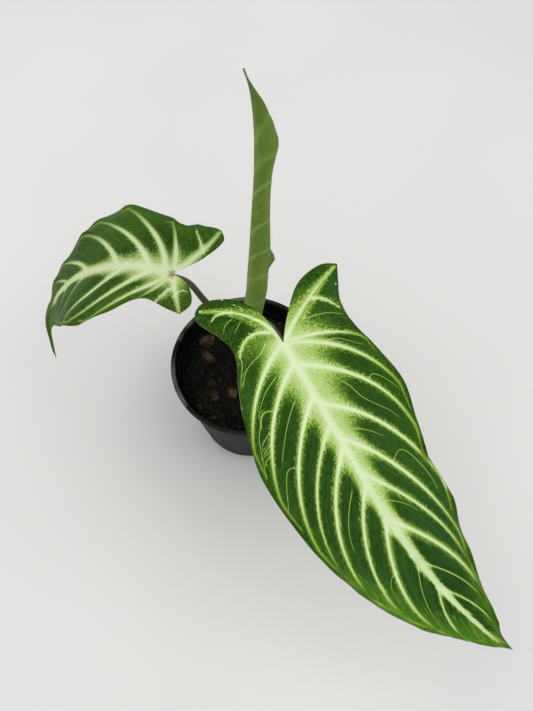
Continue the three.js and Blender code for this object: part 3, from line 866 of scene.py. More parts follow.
@dataclass(frozen=True)
class HalfLeaf:
    """One half of a leaf. A place on it is its distance along the midrib and its distance from it.

    margin runs from the tip to the lobe's end, and inner from the notch to there. rib_bend is the basal
    rib's control point between the notch and the lobe's end. lead, rise and sweep bend the rows of veins.
    threads are the thinnest veins. scallop is how far the margin stands out at a vein. glow is how bright
    the margin is, spread how wide the midrib's haze is, rib_paleness how pale the basal rib's haze can be,
    glint_rim how many more painted glints the lobe's rim has, and painted_lobe_shade how much painted
    shade darkens the lobe.
    """

    margin: Course
    inner: Course
    rib_bend: Point
    lead: float
    rise: float
    sweep: float
    veins: tuple[Vein, ...]
    branches: tuple[Branch, ...] = ()
    threads: tuple[Course, ...] = ()
    scallop: float = 0.3
    glow: float = 0.4
    spread: float = 1.0
    rib_paleness: float = 0.5
    glint_rim: float = 0.0
    painted_lobe_shade: float = 0.0
    fineness: int = 500

    def outline(self) -> Array:
        """The half's edge from the tip round the lobe to the notch."""
        shares = np.linspace(0.0, 1.0, self.fineness)
        outer, inner = curve_through(self.margin, shares), curve_through(self.inner, shares[::-1])
        return np.concatenate([outer, inner[1:]])

    def half_width(self, along: Array) -> Array:
        """The distance from the midrib to the outer margin."""
        margin = curve_through(self.margin, np.linspace(1.0, 0.0, self.fineness))
        return np.interp(along, margin[:, 0], margin[:, 1])

    def basal_rib(self, share: Array) -> Array:
        """The basal rib: the curve that the notch, its bend and the lobe's end control."""
        return bezier([np.zeros(2), np.array(self.rib_bend), np.array(self.margin[-1])], share)


@dataclass(frozen=True)
class Fan:
    """The rows of one half, numbered so that vein number k is row k, with 0 at the tip."""

    half: HalfLeaf
    length: float

    def stops(self) -> Array:
        """Start and end of the tip's row, of each vein's and of the lobe end's."""
        lobe_end = self.half.margin[-1][0] / self.length
        return np.array([[1.0, 1.0], *([v.start, v.end] for v in self.half.veins), [-1.0, lobe_end]])

    def row(self, number: Array) -> Array:
        """Start and end of a row between two veins, by its share of the way."""
        return np.stack([np.interp(number, np.arange(len(ends)), ends) for ends in self.stops().T], axis=-1)

    def number_at(self, start: Array) -> Array:
        """The number of the row that leaves the midrib at a share above zero."""
        starts = self.stops()[:, 0]
        above = int((starts > 0).sum()) + 1
        return np.interp(-start, -starts[:above], np.arange(above))

    def lines(self, ends: Array, shares: Array) -> Array:
        """Lines from the midrib or the basal rib to the margin, which sweep forward as the veins do.

        Each is a cubic Bezier curve. Its first control point lies lead of the run along the midrib and
        rise of the way out, and its second lies sweep of the run back from the end, near the margin.

        Args:
            ends: Start and end of each line.
            shares: Places along each line, from 0 to 1.

        Returns:
            Rows of places in the flat leaf.
        """
        half = self.half
        start, end = ends.T
        foot = np.stack([np.maximum(start, 0.0) * self.length, np.zeros_like(start)], axis=-1)
        foot = foot + half.basal_rib(np.maximum(-start, 0.0)[:, None])
        head = np.stack([end * self.length, half.half_width(end * self.length)], axis=-1)
        run, out = (head - foot).T
        first = foot + np.stack([half.lead * run, half.rise * out], axis=-1)
        back = head[:, 0] - half.sweep * run
        last = np.stack([back, np.maximum(half.half_width(back), 0.5 * head[:, 1])], axis=-1)
        return bezier([control[:, None, :] for control in (foot, first, last, head)], shares[None, :, None])


@dataclass(frozen=True)
class Taper:
    """A width that grows from a vein's end to its foot: end + swell times a power of the share left."""

    end: float
    swell: float
    power: float = 1.0

    def at(self, left: Array) -> Array:
        """The width where a share of the vein is left before its end."""
        return self.end + self.swell * left**self.power


MIDRIB = Taper(0.7, 1.8)
BASAL_RIB = Taper(0.3, 1.9)
SPINE = Taper(1.6, 3.0)
SIDE_VEIN = Taper(0.22, 0.95, 0.6)
SIDE_BAND = Taper(0.6, 3.6, 1.2)


def drawn(course: Course) -> Array:
    """A smooth line through the places of a course, at equal distances."""
    return evenly_along(curve_through(np.array(course, dtype=float), np.linspace(0.0, 1.0, 200)), 90)


def from_lines(lines: list[tuple[Array, float, float]], places: Array, margin: float = 4.0) -> Array:
    """Signed distance from the nearest line over half its width there.

    It soon grows large away from a line, so that its change of sign midway between two doesn't show.

    Args:
        lines: Each line, and half its width at its foot and at its end.
        places: The places to measure.
        margin: How far round a line places are measured.

    Returns:
        One value for each place.
    """
    nearest = np.full(len(places), FAR)
    for line, foot_width, end_width in lines:
        inside = (places > line.min(axis=0) - margin) & (places < line.max(axis=0) + margin)
        close = np.flatnonzero(inside.all(axis=1))
        if not len(close):
            continue
        distance, share, hand = distances_to(line, places[close])
        away = distance + 8.0 * smooth_step(distance, 1.6, 3.2)
        value = hand * (away / (foot_width + (end_width - foot_width) * share) + 0.45 * share**2)
        better = np.abs(value) < np.abs(nearest[close])
        nearest[close[better]] = value[better]
    return nearest


@dataclass(frozen=True)
class VeinLook:
    """How the veins of a leaf look, in millimetres unless said otherwise.

    The haze is the paleness round the midrib and the basal rib, and its widths are at the notch.
    broadness widens every vein. pale_end is the share of the midrib where veins stop being pale. A side
    vein ends in a line that lies inset from the margin, and its reach is least_tail to tail long.
    """

    haze_width: float
    rib_haze_width: float
    broadness: float = 1.0
    pale_end: float = 0.97
    pale_fade: float = 0.12
    inset: float = 2.4
    tail: float = 10.0
    least_tail: float = 4.0
    thread_width: float = 0.36


@dataclass(frozen=True)
class VeinPattern:
    """The veins of one half in the flat leaf, and how places on it lie from them."""

    look: VeinLook
    fan: Fan

    def values(self, flat: Array, swell: Array) -> dict[str, Array]:
        """How each place lies from the veins.

        Args:
            flat: Rows of places in the flat leaf.
            swell: 0 on a side vein and 1 midway between two.

        Returns:
            core: distance over half the nearest vein's width, so that a vein ends at 1.
            halo and spine: 1 on a side vein or the midrib, falling to 0 where the band beside it ends.
            haze: 1 on the midrib and the basal rib, falling to 0 where the paleness round them ends.
            vigour: how pale a vein is here, less towards its end and the leaf's tip.
            branch and fine: signed distance from the nearest branch or thread over half its width.
            glow: 1 on the margin's brighter green, and below 0 where the lobe is darkened as painted shade.
            glint_rim: 1 on a lobe's rim, where more glints are painted as highlights.
            edge, hub, midrib, rib and side_vein: distances from the margin, the notch and those veins.
        """
        half, broad = self.fan.half, self.look.broadness
        places = flat.reshape(-1, 2)
        along, out = places.T
        share = along / self.fan.length
        base = 1 - np.clip(share, 0.0, 1.0)
        midrib = np.hypot(out, np.minimum(along, 0.0))
        rib, rib_share, _ = distances_to(half.basal_rib(np.linspace(0, 0.95, 120)[:, None]), places)
        ridge = rib / (broad * BASAL_RIB.at(1 - rib_share)) + 0.1 + 0.5 * rib_share**2
        core = np.minimum(midrib / (broad * MIDRIB.at(base)), ridge)
        fade = 1 - smooth_step(share, self.look.pale_end - self.look.pale_fade, self.look.pale_end)
        edge = distances_to(half.outline(), places)[0]
        side = self.side_veins(places)
        thread_width = self.look.thread_width
        branches = [(drawn(b.course), b.foot_width, b.end_width) for b in half.branches]
        threads = [(drawn(course), thread_width, 0.7 * thread_width) for course in half.threads]
        values = {
            "core": np.minimum(core, side["core"]),
            "halo": np.maximum(side["halo"], self.branch_halo(branches, places)),
            "haze": self.haze(places, base, swell.ravel(), rib, 1 - rib_share) * fade,
            "vigour": side["vigour"] * fade,
            "glow": self.glow(along, edge),
            "edge": edge,
            "spine": 1 - midrib / SPINE.at(base),
            "branch": from_lines(branches, places),
            "fine": from_lines(threads, places),
            "midrib": midrib,
            "rib": rib,
            "side_vein": side["distance"],
            "hub": np.hypot(along, out),
            "glint_rim": self.glint_rim(along, edge),
        }
        return {key: value.reshape(flat.shape[:2]) for key, value in values.items()}

    def haze(self, places: Array, base: Array, swell: Array, rib: Array, rib_left: Array) -> Array:
        """The paleness round the midrib and the basal rib, which is wider along the side veins.

        Args:
            places: Places in the flat leaf.
            base: 1 at the notch and 0 at the tip.
            swell: 0 on a side vein and 1 midway between two.
            rib: Distance from the basal rib.
            rib_left: 1 at the rib's foot and 0 at its end.

        Returns:
            1 on the midrib, falling to 0 where the haze ends, and more sharply towards the tip.
        """
        half, middle = self.fan.half, 0.35
        reach = Taper(1.8, half.spread * self.look.haze_width, 2.4).at(base) * (1.15 - 0.45 * swell)
        haze = 1 - np.hypot(places[:, 1], 1.9 * np.minimum(places[:, 0], 0.0)) / reach
        haze = middle + (haze - middle) * (2.3 - 1.3 * base)
        rib_haze = 1 - rib / Taper(1.5, self.look.rib_haze_width, 1.3).at(rib_left)
        return np.maximum(haze, np.minimum(rib_haze, half.rib_paleness))

    def glow(self, along: Array, edge: Array) -> Array:
        """The margin's brighter green towards the tip, less the painted shade that darkens the lobe."""
        half = self.fan.half
        bright = (1 - smooth_step(edge, 1.0, 15.0)) * smooth_step(along, 100.0, 165.0) * half.glow
        return bright - half.painted_lobe_shade * (1 - smooth_step(along, -10.0, 12.0))

    def glint_rim(self, along: Array, edge: Array) -> Array:
        """The lobe's rim behind the notch, where more glints are painted as highlights."""
        return self.fan.half.glint_rim * smooth_step(-along, 14.0, 30.0) * (1 - smooth_step(edge, 1.5, 6.0))

    def side_veins(self, places: Array) -> dict[str, Array]:
        """How places lie from the side veins that leave the midrib.

        Args:
            places: Places in the flat leaf.

        Returns:
            core, halo and vigour as values gives them, and the distance from the nearest side vein.
        """
        core, nearest = np.full((2, len(places)), FAR)
        halo = np.full(len(places), -1.0)
        vigour = np.ones(len(places))
        for order, vein in enumerate(self.fan.half.veins, start=1):
            if vein.start < 0:
                continue
            weakness = 1 - vein.strength
            distance, share, _ = distances_to(self.vein_line(vein, order), places)
            wide = self.look.broadness * SIDE_VEIN.at(1 - share) * (0.25 + 0.75 * vein.strength)
            band = 0.4 + SIDE_BAND.at(1 - share) * vein.strength**1.5
            core = np.minimum(core, distance / wide + 0.35 * weakness)
            halo = np.maximum(halo, 1 - distance / band)
            dim = 0.62 * smooth_step(share, 0.38, 0.9) + 0.38 * weakness
            vigour = vigour * (1 - bell(distance, 1.8) * dim)
            nearest = np.minimum(nearest, distance)
        return {"core": core, "halo": halo, "vigour": vigour, "distance": nearest}

    def branch_halo(self, branches: list[tuple[Array, float, float]], places: Array) -> Array:
        """The band beside the branches: 1 on one, falling to 0 where its band ends.

        Args:
            branches: Each line, and half its width at its foot and at its end.
            places: The places.

        Returns:
            One value for each place, and at least -1.
        """
        halo = np.full(len(places), -1.0)
        for line, foot_width, _ in branches:
            distance, share, _ = distances_to(line, places)
            halo = np.maximum(halo, 1 - distance / (0.5 + 2.4 * foot_width * (1 - 0.7 * share)))
        return halo

    def vein_line(self, vein: Vein, order: int) -> Array:
        """A side vein, whose end bends into a line along the margin towards the vein ahead.

        Args:
            vein: The vein.
            order: Its number, with 1 nearest the tip.

        Returns:
            The vein's points in the flat leaf, at equal distances.
        """
        look, length = self.look, self.fan.length
        leave = 0.87 if vein.strength > 0.5 else 0.74
        ray = self.fan.lines(np.array([[vein.start, vein.end]]), np.linspace(0.0, leave, 120))[0]
        end, ahead = vein.end * length, self.fan.stops()[order - 1, 1] * length
        reach = min(max(0.7 * (ahead - end), look.least_tail), look.tail)
        along = end + reach * np.array([0.1, 0.6])
        width = self.fan.half.half_width(along)
        goal = np.stack([along, width - np.minimum(look.inset, 0.25 * width)], axis=-1)
        bend = ray[-1] + unit(ray[-1] - ray[-2]) * 0.4 * np.linalg.norm(goal[0] - ray[-1])
        tail = bezier([ray[-1], bend, *goal], np.linspace(0.0, 1.0, 60)[:, None])
        return evenly_along(np.concatenate([ray, tail[1:]]), 260)


@dataclass
class OpenLeaf:
    """An open blade and its pattern of veins.

    A place on it is a distance along the midrib and a distance from it on one side. The two halves rise
    from the midrib by the fold, in degrees, and arch over by arch, in radians a millimetre. They sink
    along each vein and swell between two of them. still_end is the share of the midrib near the tip and
    the lobe's end over which the margin's waves die out, and row_shares are the rows between two veins.
    upper_count is the number of triangles on the upper face, once it is built.
    """

    node: str
    midrib: Course
    fold: float
    arch: float
    wave_height: float
    wave_count: float
    left: HalfLeaf
    right: HalfLeaf
    veins: VeinLook
    face: VeinedBlade
    thickness: float = 0.5
    rib_depth: float = 1.5
    rib_taper: float = 0.75
    rib_width: float = 2.1
    vein_depth: float = 0.55
    vein_width: float = 0.8
    groove: float = 0.3
    groove_width: float = 1.3
    midrib_groove: float = 0.2
    midrib_groove_width: float = 1.1
    quilt: float = 0.85
    lobe_quilt: float = 0.5
    rim: float = 3.0
    still_end: float = 0.09
    row_shares: tuple[float, ...] = (
        0.0, 0.018, 0.04, 0.07, 0.11, 0.155, 0.205, 0.26, 0.32, 0.38, 0.44, 0.5, 0.56, 0.62, 0.68, 0.74,
        0.795, 0.845, 0.89, 0.93, 0.96, 0.982,
    )  # fmt: skip
    inner_columns: int = 16
    upper_count: int = 0

    def __post_init__(self) -> None:
        """Runs the midrib and its frames: the way along it, across it to the left half, and up."""
        self.centres = curve_through(self.midrib, np.linspace(0.0, 1.0, 600))
        self.distances = run_along(self.centres)
        self.length = float(self.distances[-1])
        self.along = unit(np.gradient(self.centres, self.distances, axis=0))
        self.across = unit(np.cross(self.along, [0.0, 0.0, 1.0]))
        self.up = np.cross(self.across, self.along)

    def half(self, side: Side) -> HalfLeaf:
        """The half on a side."""
        return self.left if side is Side.LEFT else self.right

    def columns(self) -> Array:
        """Shares along a row, closer together near the midrib and near the margin."""
        near, middle, far = np.linspace(0, 0.08, 10), np.linspace(0.08, 0.9, 36), np.linspace(0.9, 1, 13)
        return np.concatenate([near, middle[1:], far[1:]])

    def numbers(self, half: HalfLeaf) -> Array:
        """Numbers of a half's rows, closer together near each vein."""
        return (np.arange(len(half.veins) + 1)[:, None] + np.array(self.row_shares)[None, :]).ravel()

    def shared_starts(self) -> Array:
        """Shares of the midrib where rows start on both sides, from the tip to the notch."""
        halves = (self.left, self.right)
        rows = np.concatenate([Fan(half, self.length).row(self.numbers(half))[:, 0] for half in halves])
        return np.append(np.unique(np.round(rows[rows > 0], 4))[::-1], 0.0)

    def in_space(self, side: Side, flat: Array, lift: Array) -> Array:
        """Places of the flat leaf in space.

        Across the midrib a half is an arc: its slope starts at the fold and falls by arch each millimetre.

        Args:
            side: The half's side.
            flat: Rows of places in the flat leaf.
            lift: How far each is raised.

        Returns:
            Rows of points.
        """
        inside = np.clip(flat[..., 0], 0.0, self.length)
        centre, along, across, up = (
            np.stack([np.interp(inside, self.distances, values) for values in table.T], axis=-1)
            for table in (self.centres, self.along, self.across, self.up)
        )
        centre = centre + along * np.minimum(flat[..., 0], 0.0)[..., None]
        rise = math.radians(self.fold)
        slope = rise - self.arch * flat[..., 1]
        x = (math.sin(rise) - np.sin(slope)) / self.arch
        z = (np.cos(slope) - math.cos(rise)) / self.arch + lift
        return centre + across * (side.value * x)[..., None] + up * z[..., None]

    def still(self, half: HalfLeaf, end: Array) -> Array:
        """0 at the tip and at the lobe's end, and 1 a little way from them."""
        return np.minimum(np.minimum(1 - end, end - half.margin[-1][0] / self.length) / self.still_end, 1.0)

    def relief(
        self, half: HalfLeaf, ends: Array, column: Array, swell: Array, values: dict[str, Array]
    ) -> Array:
        """The height of swells between the veins, of grooves over them, and of the margin's waves.

        Args:
            half: The half.
            ends: Where each row ends, as a share of the midrib.
            column: Shares along the rows.
            swell: 0 on a side vein and 1 midway between two.
            values: Distances from the side veins and the midrib.

        Returns:
            The height at each place.
        """
        fade = np.sin(math.pi * np.minimum(column * 1.1, 1.0)) ** 0.7
        lift = fade * (self.quilt * swell - self.groove * bell(values["side_vein"], self.groove_width))
        wave = self.wave_height * np.sin(TURN * self.wave_count * ends) * self.still(half, ends)
        crease = self.midrib_groove * bell(values["midrib"], self.midrib_groove_width)
        return lift + wave * column**2.2 - crease * smooth_step(column, 0.0, 0.004)

    def outer_patch(self, side: Side, shared: Array) -> Patch:
        """The half from its midrib and basal rib out to the margin.

        Args:
            side: The half's side.
            shared: Shares of the midrib where rows start on both sides.

        Returns:
            The half's patch.
        """
        half = self.half(side)
        fan = Fan(half, self.length)
        rows = self.numbers(half)
        lobe_rows = rows[rows > np.argmax(fan.stops()[:, 0] <= 0)]
        number = np.concatenate([fan.number_at(shared), lobe_rows, [len(half.veins) + 1]])
        flat = fan.lines(fan.row(number), self.columns())
        ends = fan.row(number)[:, 1:]
        column = np.broadcast_to(self.columns(), flat.shape[:2])
        share = (number % 1.0)[:, None]
        scallop = half.scallop * np.abs(np.cos(math.pi * share)) ** 3 * self.still(half, ends)
        flat[..., 1] += scallop * column**5
        swell = 4 * share * (1 - share) + 0 * column
        values = VeinPattern(self.veins, fan).values(flat, swell)
        lift = self.relief(half, ends, column, swell, values)
        values |= {"along": run_along(flat), "over": ends * self.length + 0 * column}
        return self.patch(side, flat, lift, values, flipped=side is Side.LEFT)

    def inner_patch(self, side: Side, flow_scale: float = 60.0) -> Patch:
        """The strip between the basal rib and the edge of the notch.

        Args:
            side: The half's side.
            flow_scale: The finish's distance over the rows, from the notch to the lobe's end.

        Returns:
            The strip's patch.
        """
        half = self.half(side)
        fan = Fan(half, self.length)
        starts = fan.row(np.append(self.numbers(half), len(half.veins) + 1.0))[:, 0]
        shares = np.append(0.0, -starts[starts < 0])
        foot = half.basal_rib(shares[:, None])
        edge = curve_through(half.inner, shares)
        column = np.linspace(0.0, 1.0, self.inner_columns)
        flat = foot[:, None] + (edge - foot)[:, None] * column[None, :, None]
        lift = self.lobe_quilt * np.outer(np.sin(math.pi * shares), np.sin(math.pi * column))
        values = VeinPattern(self.veins, fan).values(flat, np.zeros_like(lift))
        values |= {"along": -run_along(flat), "over": flow_scale * shares[:, None] + 0 * lift}
        return self.patch(side, flat, lift, values, flipped=side is Side.RIGHT)

    def patch(self, side: Side, flat: Array, lift: Array, values: dict[str, Array], flipped: bool) -> Patch:
        """A grid of places of the flat leaf as a patch in space."""
        points = self.in_space(side, flat, lift).reshape(-1, 3)
        grid = grid_triangles(*flat.shape[:2], flipped=flipped)
        return Patch(points, grid, {key: value.ravel() for key, value in values.items()})

    def build(self) -> bpy.types.Object:
        """The blade as a closed sheet, thinner at its rim, with its ribs and veins standing out below."""
        shared = self.shared_starts()
        halves = [(self.outer_patch(side, shared), self.inner_patch(side)) for side in Side]
        near = joined([patch for half in halves for patch in half])
        rib, side_vein = near.values.pop("rib"), near.values.pop("side_vein")
        tipward = np.clip(near.values["over"] / self.length, 0.0, 1.0)
        stout = np.minimum(near.values["midrib"], rib * 1.3) / self.rib_width
        ridge = self.rib_depth * (1 - self.rib_taper * tipward) * np.sqrt(np.maximum(1 - stout**2, 0.0))
        vein = self.vein_depth * bell(side_vein, self.vein_width)
        thin = smooth_step(near.values["edge"], 0.0, self.rim)
        self.upper_count = len(near.triangles)
        sheet = closed_sheet(near, self.thickness * (0.55 + 0.45 * thin) + (ridge + vein) * thin)
        return to_object(f"{self.node}_look", sheet)

    def dress(self, piece: bpy.types.Object) -> None:
        """Puts one finish on the blade's upper face, and the other on its lower face and its edge."""
        finish_piece(piece, self.node, "leaf", self.face.material(), PaleUnderside().material())
        slots = np.arange(len(piece.data.polygons)) >= self.upper_count
        piece.data.polygons.foreach_set("material_index", slots.astype(np.int32))


def front_leaf() -> OpenLeaf:
    """The large leaf that reaches to the front right."""
    right = HalfLeaf(
        margin=(
            (235, 0), (228, 2), (212, 9), (180, 22), (151, 31), (130, 37), (113, 36.5), (97, 37.5),
            (76, 43.5), (53, 48.5), (31, 46.5), (9, 40.5), (-4, 41), (-16, 46), (-27, 52),
        ),
        inner=((0, 0), (-13, 10), (-27, 25), (-31, 42), (-27, 52)),
        rib_bend=(-18, 25),
        lead=0.13,
        rise=0.48,
        sweep=0.54,
        veins=(
            Vein(0.69, 0.975, 0.45), Vein(0.605, 0.91, 0.25), Vein(0.48, 0.862), Vein(0.352, 0.8, 0.85),
            Vein(0.26, 0.695), Vein(0.168, 0.546), Vein(0.06, 0.392), Vein(0, 0.264), Vein(0, 0.102, 0.9),
            Vein(-0.54, 0.01, 0.6),
        ),
        branches=(Branch(((-15, 28), (-12, 33), (-8, 36), (-3, 38.5)), 1.0),),
        threads=(
            ((-7, 17), (-6, 20), (-5, 25), (-3, 31), (1, 37)), ((11, 20), (12, 27), (17, 33), (22, 38)),
            ((42, 31), (40, 34), (42, 37), (48, 41), (55, 44)), ((61, 10), (66, 16), (72, 21)),
            ((36, 18), (40, 20), (47, 22), (54, 26), (62, 32), (69, 35)), ((104, 5), (111, 12), (119, 16)),
            ((87, 20), (84, 25), (86, 28), (94, 31), (105, 33), (117, 33)),
        ),
        spread=1.3,
    )  # fmt: skip
    left = HalfLeaf(
        margin=(
            (235, 0), (223, 2), (194, 13), (164, 26.5), (134, 37), (108, 44), (81, 48), (66, 49),
            (52, 48), (26, 41), (8, 34), (-6, 28), (-18, 30), (-27, 35), (-33, 37.5), (-38, 36),
        ),
        inner=((0, 0), (-20, 2.5), (-34, 11), (-40, 22), (-41, 31), (-38, 36)),
        rib_bend=(-26, 2),
        lead=0.1,
        rise=0.34,
        sweep=0.5,
        veins=(
            Vein(0.69, 0.865, 0.65), Vein(0.605, 0.835, 0.1), Vein(0.465, 0.812), Vein(0.38, 0.722, 0.9),
            Vein(0.28, 0.635), Vein(0.22, 0.558, 0.8), Vein(0.145, 0.5), Vein(0.055, 0.363), Vein(0, 0.225),
            Vein(-0.25, -0.015, 0.9), Vein(-0.78, -0.11, 0.5),
        ),
        branches=(
            Branch(((-9, 4), (-11, 8), (-12, 13), (-11, 18), (-8, 23), (-4, 26)), 1.1),
            Branch(((-29, 18), (-31, 23), (-31, 27), (-29.5, 30)), 0.7),
        ),
        threads=(
            ((-4, 10), (0, 15), (2, 21), (5, 27), (12, 33)), ((-4, 26), (1, 27.5), (7, 31.5), (13, 35)),
            ((-25, 20), (-24, 24), (-21, 27)), ((-21, 17), (-18, 21)), ((-27, 11), (-30, 12), (-33, 15)),
            ((32, 25), (29.5, 28), (30, 32), (36, 36.5), (41, 40), (49, 43), (60, 47)),
            ((63, 30), (61.5, 34), (64, 37), (70, 40.5), (75, 43), (80, 45.5)),
            ((32, 12), (38, 19), (45, 26), (51, 31), (56, 35)), ((16, 15), (20, 23), (24, 28), (30, 34)),
            ((89, 10), (95, 16), (101, 21), (108, 25), (114, 27)), ((44, 40), (41, 35), (40, 31)),
            ((48, 41), (46, 37), (45, 34)), ((52, 43), (51, 40), (50, 37)),
            ((31, 26), (30, 30), (32, 33), (37, 36)), ((137, 15), (138, 20), (142, 23)),
        ),
        glow=1.35,
        spread=0.92,
        rib_paleness=0.38,
        # More painted glints on this lobe's rim.
        glint_rim=1.0,
        # This half's lobe is darkened as painted shade.
        painted_lobe_shade=0.25,
    )  # fmt: skip
    return OpenLeaf(
        node="leaf_front_blade",
        midrib=(
            (23, -35, 188.5), (50.5, -81, 176), (81, -127, 155), (109, -157, 131), (144, -182, 102),
            (160, -188, 89),
        ),
        fold=8,
        arch=0.004,
        wave_height=1,
        wave_count=6,
        left=left,
        right=right,
        veins=VeinLook(haze_width=32.0, rib_haze_width=11.0),
        face=VeinedBlade(
            "front_leaf_face",
            (
                (0.0, "254a08"), (0.18, "416515"), (0.36, "6d9029"), (0.52, "98b550"), (0.72, "b9d287"),
                (1.0, "dae8ba"),
            ),
        ),
    )  # fmt: skip


def left_leaf() -> OpenLeaf:
    """The smaller leaf on the left, with a long drip tip."""
    right = HalfLeaf(
        margin=(
            (163, 0), (151, 0.9), (143, 1.3), (138, 2.4), (132, 6), (124, 11), (112, 18.5), (95, 28),
            (78, 34.5), (60, 40), (45, 39.5), (30, 34), (16, 24), (6, 21), (-4, 23), (-14, 24.5),
        ),
        inner=((0, 0), (-7, 1.5), (-14, 7), (-18, 16), (-14, 24.5)),
        rib_bend=(-6, 11),
        lead=0.14,
        rise=0.32,
        sweep=0.28,
        veins=(
            Vein(0.66, 0.79, 0.35), Vein(0.54, 0.71, 0.35), Vein(0.4, 0.645, 0.4), Vein(0.19, 0.54),
            Vein(0.075, 0.434), Vein(0, 0.306), Vein(0, 0.09, 0.6), Vein(-0.4, 0.02, 0.6),
        ),
        branches=(Branch(((-4, 9), (-1, 14), (2, 22)), 0.8), Branch(((-7, 14), (-9, 10), (-12, 9)), 0.5)),
    )  # fmt: skip
    left = HalfLeaf(
        margin=(
            (163, 0), (151, 0.9), (140, 1.3), (130, 2.2), (122, 4), (113, 8), (104, 14), (95, 21),
            (78, 35.5), (60, 45.5), (45, 46.5), (29, 42.5), (14, 35.5), (2, 34.5), (-8, 38.5), (-17, 38),
        ),
        inner=((0, 0), (-6, 6.5), (-14, 16), (-21, 31), (-17, 38)),
        rib_bend=(-14, 21),
        lead=0.08,
        rise=0.42,
        sweep=0.08,
        veins=(
            Vein(0.69, 0.76, 0.6), Vein(0.54, 0.665, 0.6), Vein(0.4, 0.6, 0.9), Vein(0.235, 0.5),
            Vein(0.097, 0.44), Vein(0.03, 0.302), Vein(0, 0.085, 0.9), Vein(-0.6, -0.01, 0.7),
        ),
        branches=(Branch(((-12, 20), (-8, 26), (-3, 32.5)), 1.0),),
        scallop=2.2,
    )  # fmt: skip
    return OpenLeaf(
        node="leaf_left_blade",
        midrib=(
            (-42, 10, 190), (-64, 17, 188), (-88, 23, 176), (-110, 27, 157), (-129, 26, 131),
            (-138, 20, 109), (-136, 5, 89),
        ),
        fold=5,
        arch=0.003,
        wave_height=0.8,
        wave_count=5,
        left=left,
        right=right,
        veins=VeinLook(haze_width=22.0, rib_haze_width=6.0, broadness=1.5, pale_end=0.76, tail=5.0),
        face=VeinedBlade(
            "left_leaf_face",
            (
                (0.0, "2f4f08"), (0.18, "476618"), (0.36, "6b8936"), (0.52, "8da55a"), (0.72, "adbf80"),
                (1.0, "cdd9ab"),
            ),
            stroke_width=0.8,
            scar=0.75,
            mottle=1.8,
        ),
        rib_depth=1.3,
    )  # fmt: skip


# Rolled leaf


